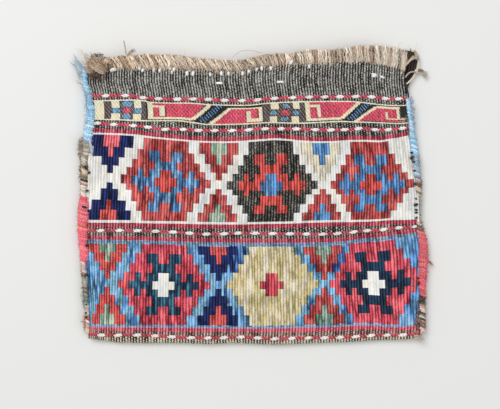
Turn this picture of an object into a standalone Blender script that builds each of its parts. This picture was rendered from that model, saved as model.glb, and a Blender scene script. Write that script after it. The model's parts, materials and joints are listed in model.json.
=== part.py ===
"""Flat-woven wool pouch, lying face up: one folded strip of cloth with whipped side seams.

The pouch lies on its back panel. +X is its right side, +Y points to its mouth and +Z is up. The
origin is under the middle of the pouch, at the height of the surface that it lies on.
"""

import math
from bisect import bisect_right

import bmesh
import bpy

# Overall sizes, in metres
CLOTH_WIDTH = 0.2480
CLOTH_HEIGHT = 0.2176
CLOTH_THICKNESS = 0.0018

# Pocket between the two panels
SEAM_GAP = 0.0004
FOLD_GAP = 0.0012
POCKET_DEPTH = 0.0052
MOUTH_DEPTH = 0.0068
POCKET_RISE = 0.032
FOLD_TAPER = 0.045
MOUTH_TAPER = 0.040

# Warp ends turned over the mouth's edge
UNWOVEN_HEIGHT = 0.0145
UNWOVEN_SHARE = 0.60
UNWOVEN_FADE = 0.0040
HEM_LENGTH = 0.0120
HEM_GAP = 0.0005
HEM_INSET = 0.0080

# Yarn whipped over the side seams
YARN_WALL = 0.0012
YARN_CLEARANCE = 0.0003
YARN_REACH = 0.0042
YARN_EDGE_ROOM = 0.0006
YARN_BULGE = 0.0009
PANEL_REST = 0.0012
YARN_VALLEY_SHARE = 0.62
STITCH_PITCH = 0.0034
STITCH_SLANT = 0.0016
LIFT_RUN = 0.014

# Loose cord at the top right corner
CORD_DIAMETER = 0.0013
CORD_CLEARANCE = 0.0003

# Rows and columns of the cloth's grid
COLUMNS = 26
SIDE_CROWDING = 0.55
HEM_ROWS = 3
TURN_ROWS = 4
FRONT_ROWS = 22
FOLD_ROWS = 5
BACK_ROWS = 14

# Facets of the yarn's turn round the edge
YARN_TURN_STEPS = 4

# The outline's hollows, each as (share of the way along the side, depth in metres).
# Sides run from the fold to the mouth, the mouth and the fold from left to right.
LEFT_HOLLOW = (
    (0.02, 0.0044), (0.09, 0.0048), (0.18, 0.0033), (0.28, 0.0015), (0.38, 0.0), (0.51, 0.0012),
    (0.65, 0.0022), (0.72, 0.0041), (0.78, 0.0055), (0.85, 0.0041), (0.88, 0.0026), (0.95, 0.0029),
)
RIGHT_HOLLOW = (
    (0.02, 0.0015), (0.06, 0.0008), (0.15, 0.0010), (0.28, 0.0), (0.35, 0.0015), (0.40, 0.0036),
    (0.51, 0.0044), (0.58, 0.0055), (0.65, 0.0070), (0.75, 0.0099), (0.82, 0.0120), (0.87, 0.0134),
    (0.90, 0.0134), (0.95, 0.0127), (0.99, 0.0134),
)
MOUTH_HOLLOW = (
    (0.0, 0.0100), (0.09, 0.0087), (0.20, 0.0066), (0.29, 0.0069), (0.35, 0.0087), (0.43, 0.0107),
    (0.49, 0.0102), (0.52, 0.0080), (0.58, 0.0055), (0.64, 0.0048), (0.69, 0.0026), (0.75, 0.0029),
    (0.81, 0.0008), (0.85, 0.0), (0.90, 0.0008), (0.96, 0.0026), (1.0, 0.0040),
)
FOLD_HOLLOW = (
    (0.0, 0.0048), (0.06, 0.0033), (0.12, 0.0015), (0.30, 0.0012), (0.37, 0.0004), (0.46, 0.0011),
    (0.58, 0.0), (0.69, 0.0011), (0.81, 0.0022), (0.87, 0.0033), (0.95, 0.0037), (1.0, 0.0058),
)
# The back panel's top right corner, where the seam is undone, spreads past the front.
BACK_CORNER_SPREAD = (
    (0.83, 0.0), (0.86, 0.0025), (0.89, 0.0052), (0.92, 0.0082), (0.95, 0.0092), (1.0, 0.0080),
)
SEAM_OPEN_SHARE = 0.845
SEAM_OPEN_FADE = 0.06

# Where each binding yarn starts and ends, as shares of the pouch's height from the fold
BINDING_GAP = 0.0003
LEFT_BINDINGS = (
    ("left_binding_brown_low", 0.045, 0.2800),
    ("left_binding_red", 0.2800, 0.5000),
    ("left_binding_brown", 0.5000, 0.6750),
    ("left_binding_blue", 0.6750, 0.9250),
)
RIGHT_BINDINGS = (
    ("right_binding_red_low", 0.045, 0.0900),
    ("right_binding_brown_low", 0.0900, 0.1570),
    ("right_binding_red", 0.1570, 0.3800),
    ("right_binding_brown", 0.3800, 0.5550),
    ("right_binding_blue", 0.5550, 0.8180),
)

YARN_COLOURS = {
    "blue": (0.29, 0.50, 0.68),
    "brown": (0.16, 0.12, 0.09),
    "red": (0.65, 0.14, 0.17),
}
CLOTH_COLOUR = (0.42, 0.08, 0.10)
CORD_COLOUR = (0.62, 0.50, 0.38)
WOOL_ROUGHNESS = 0.92

LEFT, RIGHT = -1, 1


def clear_scene():
    for old in list(bpy.data.objects):
        bpy.data.objects.remove(old, do_unlink=True)


def new_collection(name):
    collection = bpy.data.collections.new(name)
    bpy.context.scene.collection.children.link(collection)
    return collection


def wool(name, colour):
    material = bpy.data.materials.new(name)
    material.use_nodes = True
    shader = material.node_tree.nodes["Principled BSDF"]
    shader.inputs["Base Color"].default_value = (*colour, 1.0)
    shader.inputs["Roughness"].default_value = WOOL_ROUGHNESS
    shader.inputs["Metallic"].default_value = 0.0
    return material


def smooth_step(value):
    value = min(1.0, max(0.0, value))
    return value * value * (3.0 - 2.0 * value)


def smooth_line(points, at):
    """Height of the smooth line through the given points, flat beyond its ends."""
    places = [point[0] for point in points]
    heights = [point[1] for point in points]
    if at <= places[0]:
        return heights[0]
    if at >= places[-1]:
        return heights[-1]
    left = bisect_right(places, at) - 1

    def slope(index):
        before = max(0, index - 1)
        after = min(len(points) - 1, index + 1)
        return (heights[after] - heights[before]) / (places[after] - places[before])

    span = places[left + 1] - places[left]
    share = (at - places[left]) / span
    start, end = heights[left], heights[left + 1]
    lean_in, lean_out = slope(left) * span, slope(left + 1) * span
    return (
        (2 * share**3 - 3 * share**2 + 1) * start
        + (share**3 - 2 * share**2 + share) * lean_in
        + (3 * share**2 - 2 * share**3) * end
        + (share**3 - share**2) * lean_out
    )


def height_share(y):
    return y / CLOTH_HEIGHT + 0.5


def side_edge(side, y):
    """X of the cloth's edge on one side, at a height y up the pouch."""
    hollow = LEFT_HOLLOW if side == LEFT else RIGHT_HOLLOW
    return side * (CLOTH_WIDTH / 2 - smooth_line(hollow, height_share(y)))


def back_edge(side, y):
    spread = smooth_line(BACK_CORNER_SPREAD, height_share(y)) if side == RIGHT else 0.0
    return side_edge(side, y) + spread


def mouth_line(across):
    return CLOTH_HEIGHT / 2 - smooth_line(MOUTH_HOLLOW, across)


def fold_line(across):
    return -CLOTH_HEIGHT / 2 + smooth_line(FOLD_HOLLOW, across)


def side_distance(across):
    return CLOTH_WIDTH * min(across, 1.0 - across)


def pocket_gap(across, y):
    """Air between the two panels: closed at the seams, widest at the mouth."""
    inward = (side_distance(across) - YARN_REACH - PANEL_REST) / POCKET_RISE
    opening = math.sin(math.pi / 2 * min(1.0, max(0.0, inward)))
    above_fold = y + CLOTH_HEIGHT / 2
    below_mouth = CLOTH_HEIGHT / 2 - y
    depth = FOLD_GAP + (POCKET_DEPTH - FOLD_GAP) * smooth_step(above_fold / FOLD_TAPER)
    at_mouth = 1.0 - smooth_step((below_mouth - UNWOVEN_HEIGHT) / MOUTH_TAPER)
    depth += (MOUTH_DEPTH - POCKET_DEPTH) * at_mouth
    return SEAM_GAP + opening * max(0.0, depth - SEAM_GAP)


def edge_lift(across, y):
    """How far the bound edges stand off the surface below, to leave room for the yarn under them."""
    lift = YARN_WALL + YARN_CLEARANCE
    inward = (side_distance(across) - YARN_REACH - PANEL_REST) / LIFT_RUN
    if across > 0.5:
        lift *= 1.0 - smooth_step((height_share(y) - SEAM_OPEN_SHARE) / SEAM_OPEN_FADE)
    return lift * (1.0 - smooth_step(inward))


def back_height(across, y):
    return CLOTH_THICKNESS / 2 + edge_lift(across, y)


def front_height(across, y):
    return back_height(across, y) + CLOTH_THICKNESS + pocket_gap(across, y)


def turn_radius():
    """Half the distance between the front panel and the warp ends turned in behind it."""
    return (CLOTH_THICKNESS * UNWOVEN_SHARE + HEM_GAP) / 2


def fold_radius(across):
    low = fold_line(across)
    return (CLOTH_THICKNESS + pocket_gap(across, low)) / 2


def panel_span(across):
    """Lowest and highest y of a panel, inside the bottom fold and the turned mouth."""
    low = fold_line(across) + fold_radius(across) + CLOTH_THICKNESS / 2
    high = mouth_line(across) - turn_radius() - CLOTH_THICKNESS * UNWOVEN_SHARE / 2
    return low, high


def lateral(edge, across, y):
    left = edge(LEFT, y)
    return left + (edge(RIGHT, y) - left) * across


def cloth_point(across, row):
    """Middle of the cloth's thickness at one crossing of the strip's grid."""
    low, high = panel_span(across)
    turn_start = HEM_ROWS
    front_start = turn_start + TURN_ROWS
    fold_start = front_start + FRONT_ROWS
    back_start = fold_start + FOLD_ROWS
    if row < turn_start:
        y = high - HEM_LENGTH * (1.0 - row / HEM_ROWS)
        z = front_height(across, y) - 2 * turn_radius()
        return lateral(side_edge, across, y), y, z
    if row < front_start:
        angle = math.pi * (row - turn_start) / TURN_ROWS
        y = high + turn_radius() * math.sin(angle)
        z = front_height(across, high) - turn_radius() * (1.0 + math.cos(angle))
        return lateral(side_edge, across, y), y, z
    if row <= fold_start:
        y = high + (low - high) * (row - front_start) / FRONT_ROWS
        return lateral(side_edge, across, y), y, front_height(across, y)
    if row < back_start:
        angle = math.pi * (row - fold_start) / FOLD_ROWS
        radius = (front_height(across, low) - back_height(across, low)) / 2
        y = low - radius * math.sin(angle)
        z = back_height(across, low) + radius * (1.0 + math.cos(angle))
        return lateral(side_edge, across, low), y, z
    y = low + (high - low) * (row - back_start) / BACK_ROWS
    return lateral(back_edge, across, y), y, back_height(across, y)


def column_place(index):
    """Share of the width at one column, with the columns closer together near the seams."""
    even = index / COLUMNS
    crowded = (1.0 - math.cos(math.pi * even)) / 2
    return (1.0 - SIDE_CROWDING) * even + SIDE_CROWDING * crowded


def make_bag_cloth(collection):
    rows = HEM_ROWS + TURN_ROWS + FRONT_ROWS + FOLD_ROWS + BACK_ROWS
    shape = bmesh.new()
    bmesh.ops.create_grid(shape, x_segments=COLUMNS, y_segments=rows, size=0.5)
    thickness = shape.verts.layers.deform.verify()
    woven_group = 0
    crossing = {}
    for vertex in shape.verts:
        column = round((vertex.co.x + 0.5) * COLUMNS)
        row = round((vertex.co.y + 0.5) * rows)
        crossing[vertex] = (column, row)
        vertex.co = cloth_point(column_place(column), row)

    front_start = HEM_ROWS + TURN_ROWS

    def in_side_hem(face):
        across = sum(column_place(crossing[corner][0]) for corner in face.verts) / 4
        row = sum(crossing[corner][1] for corner in face.verts) / 4
        return row < front_start and side_distance(across) < HEM_INSET

    bare = [face for face in shape.faces if in_side_hem(face)]
    bmesh.ops.delete(shape, geom=bare, context="FACES")
    bmesh.ops.recalc_face_normals(shape, faces=shape.faces)

    for vertex in shape.verts:
        column, row = crossing[vertex]
        below_mouth = mouth_line(column_place(column)) - vertex.co.y
        woven = 1.0
        if row <= front_start + FRONT_ROWS:
            woven = smooth_step((below_mouth - UNWOVEN_HEIGHT) / UNWOVEN_FADE)
        vertex[thickness][woven_group] = woven if row >= front_start else 0.0

    mesh = bpy.data.meshes.new("bag_cloth")
    shape.to_mesh(mesh)
    shape.free()
    mesh.shade_smooth()
    cloth = bpy.data.objects.new("bag_cloth", mesh)
    cloth.vertex_groups.new(name="woven")
    cloth.data.materials.append(wool("patterned_wool", CLOTH_COLOUR))
    collection.objects.link(cloth)
    body = cloth.modifiers.new("cloth body", "SOLIDIFY")
    body.thickness = CLOTH_THICKNESS
    body.offset = 0.0
    body.vertex_group = "woven"
    body.thickness_vertex_group = UNWOVEN_SHARE
    return cloth


def seam_height(side, y):
    """Middle of the two layers at their edge, and half of what they are thick there."""
    across = 0.0 if side == LEFT else 1.0
    low = edge_lift(across, y)
    stack = 2 * CLOTH_THICKNESS + SEAM_GAP
    return low + stack / 2, stack / 2


def binding_profile():
    """The yarn's way round the edge: (inward from the edge, part of the stack's half height)."""
    points = [(YARN_REACH, 1.0), (YARN_REACH / 2, 1.0)]
    for step in range(YARN_TURN_STEPS + 1):
        angle = math.pi / 2 - math.pi * step / YARN_TURN_STEPS
        points.append((-YARN_EDGE_ROOM - YARN_BULGE * math.cos(angle), math.sin(angle)))
    points.append((YARN_REACH / 2, -1.0))
    points.append((YARN_REACH, -1.0))
    return points


def make_binding(collection, name, side, start_share, end_share):
    """A sleeve of whipped yarn, gripping the edges of both layers."""
    start = (start_share - 0.5) * CLOTH_HEIGHT + BINDING_GAP / 2
    end = (end_share - 0.5) * CLOTH_HEIGHT - BINDING_GAP / 2
    stitches = max(2, round((end - start) / STITCH_PITCH))
    along = 2 * stitches
    profile = binding_profile()
    around = len(profile) - 1

    shape = bmesh.new()
    bmesh.ops.create_grid(shape, x_segments=along, y_segments=around, size=0.5)
    thickness = shape.verts.layers.deform.verify()
    yarn_group = 0
    for vertex in shape.verts:
        place = round((vertex.co.x + 0.5) * along)
        step = round((vertex.co.y + 0.5) * around)
        inward, level = profile[step]
        slant = STITCH_SLANT * (0.5 - step / around)
        y = start + (end - start) * place / along + slant
        middle, half = seam_height(side, y)
        x = side_edge(side, y) - side * inward
        vertex.co = (x, y, middle + level * (half + YARN_CLEARANCE))
        vertex[thickness][yarn_group] = 1.0 if place % 2 else 0.0
    bmesh.ops.recalc_face_normals(shape, faces=shape.faces)

    mesh = bpy.data.meshes.new(name)
    shape.to_mesh(mesh)
    shape.free()
    mesh.shade_smooth()
    binding = bpy.data.objects.new(name, mesh)
    binding.vertex_groups.new(name="yarn")
    colour = next(word for word in YARN_COLOURS if word in name)
    binding.data.materials.append(wool(name, YARN_COLOURS[colour]))
    collection.objects.link(binding)
    wall = binding.modifiers.new("yarn wall", "SOLIDIFY")
    wall.thickness = YARN_WALL
    wall.offset = outward_offset(mesh, side)
    wall.vertex_group = "yarn"
    wall.thickness_vertex_group = YARN_VALLEY_SHARE
    return binding


def outward_offset(mesh, side):
    """Solidify's offset that puts the wall on the side away from the cloth."""
    outermost = max(mesh.polygons, key=lambda face: side * face.center.x)
    return 1.0 if side * outermost.normal.x > 0 else -1.0


# The loose cord's way: out of the mouth's corner, over the back panel's corner, to the seam.
# Each point is (in from the widest side, down from the highest mouth, level), in metres, and a
# level of 1 lies on the front panel, 0 on the back one.
CORD_ROUTE = (
    (0.0162, 0.0206, 1.0), (0.0152, 0.0183, 1.0), (0.0138, 0.0156, 1.0), (0.0122, 0.0133, 1.05),
    (0.0104, 0.0113, 0.7), (0.0084, 0.0098, 0.2), (0.0060, 0.0086, 0.05), (0.0037, 0.0089, 0.05),
    (0.0028, 0.0112, 0.05), (0.0036, 0.0148, 0.05), (0.0050, 0.0188, 0.05), (0.0072, 0.0226, 0.1),
    (0.0098, 0.0256, 0.15), (0.0120, 0.0276, 0.25),
)
CORD_POINTS_PER_SPAN = 3


def cord_route_point(inward, down, level):
    """One point of the cord's route, standing on the panel that carries it there."""
    y = CLOTH_HEIGHT / 2 - down
    back_face = edge_lift(1.0, y) + CLOTH_THICKNESS
    carrier = back_face + level * (CLOTH_THICKNESS + SEAM_GAP)
    return CLOTH_WIDTH / 2 - inward, y, carrier + CORD_CLEARANCE + CORD_DIAMETER / 2


def cord_points():
    """Points on one smooth curve through the cord's route."""
    route = [cord_route_point(*point) for point in CORD_ROUTE]
    distances = [0.0]
    for before, after in zip(route, route[1:]):
        distances.append(distances[-1] + math.dist(before, after))
    axes = [list(zip(distances, values)) for values in zip(*route)]
    count = CORD_POINTS_PER_SPAN * (len(route) - 1)
    places = [distances[-1] * index / count for index in range(count + 1)]
    return [tuple(smooth_line(axis, place) for axis in axes) for place in places]


def make_corner_cord(collection):
    curve = bpy.data.curves.new("corner_cord", "CURVE")
    curve.dimensions = "3D"
    curve.bevel_depth = CORD_DIAMETER / 2
    curve.bevel_resolution = 2
    curve.use_fill_caps = True
    points = cord_points()
    line = curve.splines.new("POLY")
    line.points.add(len(points) - 1)
    for target, point in zip(line.points, points):
        target.co = (*point, 1.0)
    cord = bpy.data.objects.new("corner_cord", curve)
    curve.materials.append(wool("corner_cord", CORD_COLOUR))
    collection.objects.link(cord)
    return cord


def main():
    clear_scene()
    pouch = new_collection("woven_pouch")
    make_bag_cloth(pouch)
    for name, start, end in LEFT_BINDINGS:
        make_binding(pouch, name, LEFT, start, end)
    for name, start, end in RIGHT_BINDINGS:
        make_binding(pouch, name, RIGHT, start, end)
    make_corner_cord(pouch)


main()
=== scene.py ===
"""Looks of the flat-woven wool pouch: ribbed cloth with stepped medallions, whipped sides,
turned-in warp ends and a loose corner cord.

Lengths are in metres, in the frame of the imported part: +X is the pouch's right side, +Y points to
its mouth and +Z is up from the surface that it lies on.
"""

import json
import math
import random
from bisect import bisect_right
from functools import cache
from math import cos, pi, sin

import bmesh
import bpy
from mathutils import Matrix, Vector, noise

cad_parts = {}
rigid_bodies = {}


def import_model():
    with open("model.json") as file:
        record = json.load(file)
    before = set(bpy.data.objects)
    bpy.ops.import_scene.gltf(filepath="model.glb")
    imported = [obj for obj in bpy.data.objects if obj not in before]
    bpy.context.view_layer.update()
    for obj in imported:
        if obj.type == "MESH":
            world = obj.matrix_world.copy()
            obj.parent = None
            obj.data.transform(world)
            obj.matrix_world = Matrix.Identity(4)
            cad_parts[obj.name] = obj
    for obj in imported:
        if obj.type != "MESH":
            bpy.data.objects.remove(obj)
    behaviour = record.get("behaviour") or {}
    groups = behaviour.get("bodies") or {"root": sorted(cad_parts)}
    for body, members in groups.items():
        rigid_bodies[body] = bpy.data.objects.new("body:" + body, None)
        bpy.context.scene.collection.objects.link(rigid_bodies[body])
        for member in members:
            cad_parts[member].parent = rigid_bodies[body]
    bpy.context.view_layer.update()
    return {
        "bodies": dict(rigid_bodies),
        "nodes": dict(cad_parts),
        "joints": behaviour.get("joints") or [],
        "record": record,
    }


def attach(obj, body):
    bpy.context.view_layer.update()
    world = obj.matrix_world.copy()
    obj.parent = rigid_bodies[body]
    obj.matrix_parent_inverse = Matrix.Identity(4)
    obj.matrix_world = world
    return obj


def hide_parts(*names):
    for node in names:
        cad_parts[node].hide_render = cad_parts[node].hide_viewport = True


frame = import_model()

bl_info = {
    "name": "Kilim Pouch",
    "version": (1, 0, 0),
    "blender": (4, 5, 0),
    "location": "View3D > Sidebar > Kilim Pouch",
    "description": "Weaves and finishes a flat-woven wool pouch",
    "category": "Object",
}

MM = 0.001
LEFT, RIGHT = -1, 1

# Sizes of the part's own cloth and seams, as its source gives them
CLOTH_WIDTH = 0.2480
CLOTH_HEIGHT = 0.2176
CLOTH_THICKNESS = 0.0018
SEAM_GAP = 0.0004
FOLD_GAP = 0.0012
POCKET_DEPTH = 0.0052
MOUTH_DEPTH = 0.0068
POCKET_RISE = 0.032
FOLD_TAPER = 0.045
MOUTH_TAPER = 0.040
UNWOVEN_HEIGHT = 0.0145
UNWOVEN_SHARE = 0.60
UNWOVEN_FADE = 0.0040
HEM_LENGTH = 0.0120
HEM_GAP = 0.0005
HEM_INSET = 0.0080
YARN_WALL = 0.0012
YARN_CLEARANCE = 0.0003
YARN_REACH = 0.0042
YARN_EDGE_ROOM = 0.0006
YARN_BULGE = 0.0009
PANEL_REST = 0.0012
LIFT_RUN = 0.014
SEAM_OPEN_SHARE = 0.845
SEAM_OPEN_FADE = 0.06
BARE_THICKNESS = CLOTH_THICKNESS * UNWOVEN_SHARE
TURN_RADIUS = (BARE_THICKNESS + HEM_GAP) / 2

# The outline's hollows, each as (share of the way along the side, depth in metres). The mouth's was
# measured again after the part was made.
LEFT_HOLLOW = (
    (0.02, 0.0044), (0.09, 0.0048), (0.18, 0.0033), (0.28, 0.0015), (0.38, 0.0), (0.51, 0.0012),
    (0.65, 0.0022), (0.72, 0.0041), (0.78, 0.0055), (0.85, 0.0041), (0.88, 0.0026), (0.95, 0.0029),
)
RIGHT_HOLLOW = (
    (0.02, 0.0015), (0.06, 0.0008), (0.15, 0.0010), (0.28, 0.0), (0.35, 0.0015), (0.40, 0.0036),
    (0.51, 0.0044), (0.58, 0.0055), (0.65, 0.0070), (0.75, 0.0099), (0.82, 0.0120), (0.87, 0.0134),
    (0.90, 0.0134), (0.95, 0.0127), (0.99, 0.0134),
)
MOUTH_HOLLOW = (
    (0.0, 0.0099), (0.09, 0.0085), (0.20, 0.0071), (0.29, 0.0077), (0.35, 0.0096), (0.43, 0.0110),
    (0.49, 0.0113), (0.52, 0.0092), (0.58, 0.0066), (0.64, 0.0065), (0.69, 0.0038), (0.75, 0.0042),
    (0.81, 0.0024), (0.85, 0.0009), (0.90, 0.0005), (0.96, 0.0008), (1.0, 0.0026),
)
FOLD_HOLLOW = (
    (0.0, 0.0048), (0.06, 0.0033), (0.12, 0.0015), (0.30, 0.0012), (0.37, 0.0004), (0.46, 0.0011),
    (0.58, 0.0), (0.69, 0.0011), (0.81, 0.0022), (0.87, 0.0033), (0.95, 0.0037), (1.0, 0.0058),
)
# How far the back's top right corner spreads past the front: (share of the height, metres)
BACK_CORNER_SPREAD = (
    (0.83, 0.0), (0.86, 0.0025), (0.89, 0.0052), (0.92, 0.0082), (0.95, 0.0092), (1.0, 0.0080),
)
# Whipped seams: (node, side, lowest and highest share of the height)
BINDINGS = (
    ("left_binding_brown_low", LEFT, 0.045, 0.2800),
    ("left_binding_red", LEFT, 0.2800, 0.5000),
    ("left_binding_brown", LEFT, 0.5000, 0.6750),
    ("left_binding_blue", LEFT, 0.6750, 0.9250),
    ("right_binding_red_low", RIGHT, 0.045, 0.0900),
    ("right_binding_brown_low", RIGHT, 0.0900, 0.1570),
    ("right_binding_red", RIGHT, 0.1570, 0.3800),
    ("right_binding_brown", RIGHT, 0.3800, 0.5550),
    ("right_binding_blue", RIGHT, 0.5550, 0.8180),
)
# The loose cord's route, as the part's source gives it
CORD_ROUTE = (
    (0.1078, 0.0882, 0.00495), (0.1088, 0.0905, 0.00495), (0.1102, 0.0932, 0.00495),
    (0.1118, 0.0955, 0.00506), (0.1136, 0.0975, 0.00429), (0.1156, 0.0990, 0.00319),
    (0.1180, 0.1002, 0.00286), (0.1203, 0.0999, 0.00286), (0.1212, 0.0976, 0.00286),
    (0.1204, 0.0940, 0.00286), (0.1190, 0.0900, 0.00286), (0.1168, 0.0862, 0.00306),
    (0.1142, 0.0832, 0.00356), (0.1120, 0.0812, 0.00412),
)

# Lines across the weave, each as (share of the width, millimetres up from the pouch's middle)
HEADING_TOP = (
    (0.03, 89.2), (0.076, 92.1), (0.17, 90.6), (0.357, 91.3), (0.482, 90.6), (0.544, 92.8),
    (0.606, 94.2), (0.668, 95.0), (0.731, 95.0), (0.793, 95.7), (0.887, 95.7), (0.949, 93.5),
    (0.981, 92.1),
)
FIRST_DASHES = (
    (0.02, 72.5), (0.131, 72.1), (0.161, 71.0), (0.192, 70.3), (0.255, 69.6), (0.349, 69.6),
    (0.411, 68.9), (0.505, 68.5), (0.537, 69.2), (0.569, 69.9), (0.632, 70.6), (0.695, 71.0),
    (0.821, 71.2), (0.884, 71.2), (0.946, 69.9), (0.977, 69.9),
)
WRAPPED_TOP = (
    (0.022, 69.2), (0.176, 69.2), (0.191, 67.8), (0.254, 67.1), (0.316, 67.1), (0.379, 66.0),
    (0.441, 65.6), (0.504, 65.6), (0.567, 67.1), (0.662, 68.1), (0.819, 68.1), (0.881, 66.7),
    (0.943, 65.6), (0.99, 65.2),
)
WRAPPED_BOTTOM = (
    (0.022, 55.1), (0.097, 54.4), (0.159, 53.6), (0.284, 53.6), (0.315, 52.6), (0.346, 51.5),
    (0.368, 50.8), (0.47, 51.1), (0.563, 52.2), (0.656, 51.8), (0.781, 52.9), (0.842, 52.2),
    (0.904, 52.2), (0.966, 51.5),
)
SECOND_DASHES = (
    (0.02, 52.8), (0.067, 51.7), (0.13, 50.7), (0.192, 49.2), (0.223, 47.9), (0.285, 47.9),
    (0.347, 47.0), (0.47, 47.0), (0.532, 48.1), (0.656, 48.1), (0.717, 47.4), (0.81, 47.4),
    (0.841, 48.1), (0.902, 47.4), (0.98, 48.4),
)
WHITE_TOP = (
    (0.018, 45.6), (0.04, 45.6), (0.102, 44.9), (0.163, 43.8), (0.195, 42.7), (0.225, 42.0),
    (0.287, 40.6), (0.349, 39.5), (0.41, 39.1), (0.471, 39.5), (0.532, 40.6), (0.577, 41.3),
    (0.624, 40.6), (0.654, 39.8), (0.73, 39.1), (0.807, 39.8), (0.898, 39.8), (0.929, 40.9),
    (0.96, 41.7), (0.986, 42.7),
)
WHITE_BOTTOM = (
    (0.029, -19.6), (0.083, -19.6), (0.142, -19.6), (0.202, -20.0), (0.291, -20.2), (0.35, -20.6),
    (0.469, -20.8), (0.558, -20.4), (0.617, -20.2), (0.677, -19.6), (0.736, -19.4), (0.855, -19.6),
    (0.885, -18.8), (0.93, -18.0), (0.998, -19.4),
)
THIRD_DASHES = (
    (0.045, -25.3), (0.113, -25.1), (0.201, -25.5), (0.29, -26.5), (0.357, -27.7), (0.425, -27.5),
    (0.467, -27.0), (0.555, -27.3), (0.718, -27.8), (0.788, -27.3), (0.8325, -26.5),
    (0.883, -25.4), (0.936, -23.9), (0.98, -24.3),
)
RED_LINE_LOW = (
    (0.038, -30.2), (0.2, -30.9), (0.347, -32.0), (0.494, -32.4), (0.641, -32.4), (0.789, -31.6),
    (0.94, -27.2),
)
BLUE_TOP = (
    (0.075, -34.0), (0.242, -34.6), (0.398, -36.2), (0.551, -36.2), (0.704, -36.2),
    (0.847, -33.9), (0.952, -30.6),
)
BLUE_BOTTOM = (
    (0.058, -94.2), (0.229, -94.4), (0.387, -94.8), (0.543, -95.0), (0.707, -94.2),
    (0.857, -94.0), (0.955, -95.2),
)
RED_LINE_FOLD = (
    (0.019, -96.4), (0.334, -97.5), (0.633, -97.5), (0.782, -97.0), (0.932, -97.2), (0.992, -98.8),
)
FOURTH_DASHES = (
    (0.035, -100.8), (0.089, -101.5), (0.146, -101.1), (0.2, -101.5), (0.251, -102.2),
    (0.305, -103.0), (0.407, -103.3), (0.458, -102.6), (0.506, -103.0), (0.557, -104.0),
    (0.608, -103.7), (0.658, -103.3), (0.754, -103.3), (0.844, -103.0), (0.891, -101.6),
    (0.942, -102.0), (1.0, -103.2),
)

# Height of a row of dashes in millimetres, rows of weft to a step of a field, and the step number
# of the rows of plain ground above and below its shapes
DASH_HEIGHT = 2.3
STEP_ROWS = 3
GROUND_STEP = -1
# The bands of weave from the mouth down: (name, rows of weft, line at its lower edge, millimetres
# from that line up to the edge). A field's rows come from its nine steps.
BANDS = (
    ("warp", 6, HEADING_TOP, 0.0),
    ("heading", 14, FIRST_DASHES, DASH_HEIGHT / 2),
    ("dashes_1", 3, FIRST_DASHES, -DASH_HEIGHT / 2),
    ("dark_line", 2, WRAPPED_TOP, 0.0),
    ("wrapped", 18, WRAPPED_BOTTOM, 0.0),
    ("dark_line", 1, SECOND_DASHES, DASH_HEIGHT / 2),
    ("dashes_2", 3, SECOND_DASHES, -DASH_HEIGHT / 2),
    ("dark_line", 4, WHITE_TOP, 3.1),
    ("red_line", 3, WHITE_TOP, 0.0),
    ("white_field", 0, WHITE_BOTTOM, 0.0),
    ("red_line", 3, WHITE_BOTTOM, -3.2),
    ("dark_line", 3, THIRD_DASHES, DASH_HEIGHT / 2),
    ("dashes_3", 3, THIRD_DASHES, -DASH_HEIGHT / 2),
    ("dark_line", 2, RED_LINE_LOW, 1.45),
    ("red_line", 3, RED_LINE_LOW, -1.45),
    ("blue_line", 3, BLUE_TOP, 0.0),
    ("blue_field", 0, BLUE_BOTTOM, 0.0),
    ("lavender_line", 1, BLUE_BOTTOM, -1.4),
    ("fold_red", 2, RED_LINE_FOLD, -1.25),
    ("fold_brown", 3, FOURTH_DASHES, DASH_HEIGHT / 2),
    ("dashes_4", 3, FOURTH_DASHES, -DASH_HEIGHT / 2),
    ("fold_line", 2, None, 0.0),
)
# Where each field's nine steps start and end, as shares of it from the top down
FIELD_STEPS = {
    "white_field": (0.02, 0.162, 0.282, 0.383, 0.472, 0.576, 0.641, 0.761, 0.865, 0.972),
    "blue_field": (0.01, 0.117, 0.234, 0.343, 0.443, 0.54, 0.628, 0.750, 0.860, 0.986),
}
# Dye of each plain band, and how much pale warp shows on its crests
PLAIN_BANDS = {
    "warp": ("bare_warp", 0.6), "heading": ("heading", 1.0), "dark_line": ("dark_brown", 0.85),
    "red_line": ("line_red", 0.47), "blue_line": ("line_blue", 0.72),
    "lavender_line": ("lavender", 0.72), "fold_red": ("dash_red", 0.47),
    "fold_brown": ("brown_line", 0.85), "fold_line": ("dark_brown", 1.25),
}
# Least height of a row of weft
LEAST_ROW = 0.00035

# Ribs across, cuts along each one, and rows of the strip's other parts
RIBS = 119
RIB_CUTS = 2
HEM_ROWS = 3
TURN_ROWS = 4
FOLD_ROWS = 6
BACK_ROWS = 30

# First rib of each white dash
WHITE_DASHES = {
    "dashes_1": (
        5.4, 12.8, 19.2, 25.1, 31.9, 37.8, 43.4, 49.4, 55.8, 61.7, 68.1, 74.8, 80.8, 86.8, 92.4,
        98.0, 103.9, 109.2, 114.4,
    ),
    "dashes_2": (
        1.9, 8.2, 15.5, 21.0, 27.3, 33.9, 39.4, 45.3, 51.6, 57.8, 63.7, 69.6, 75.1, 82.1, 87.9,
        92.7, 97.9, 103.8, 108.9, 114.4,
    ),
    "dashes_3": (
        5.3, 12.0, 18.3, 24.6, 31.0, 36.6, 42.6, 48.6, 53.5, 59.5, 65.5, 71.8, 77.4, 83.1, 88.4,
        94.0, 98.9, 104.5, 110.2, 116.5,
    ),
    "dashes_4": (
        3.2, 9.2, 16.0, 22.4, 28.4, 35.2, 41.3, 47.0, 53.0, 59.1, 65.1, 71.2, 77.2, 82.9, 88.3,
        94.0, 99.3, 105.0, 110.7, 118.2,
    ),
}
# A dash's length, how far it slants, and how much shorter its outer rows are, in ribs
DASH_RIBS = 3.0
DASH_SLANT = 0.25
DASH_POINT = 0.55

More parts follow.
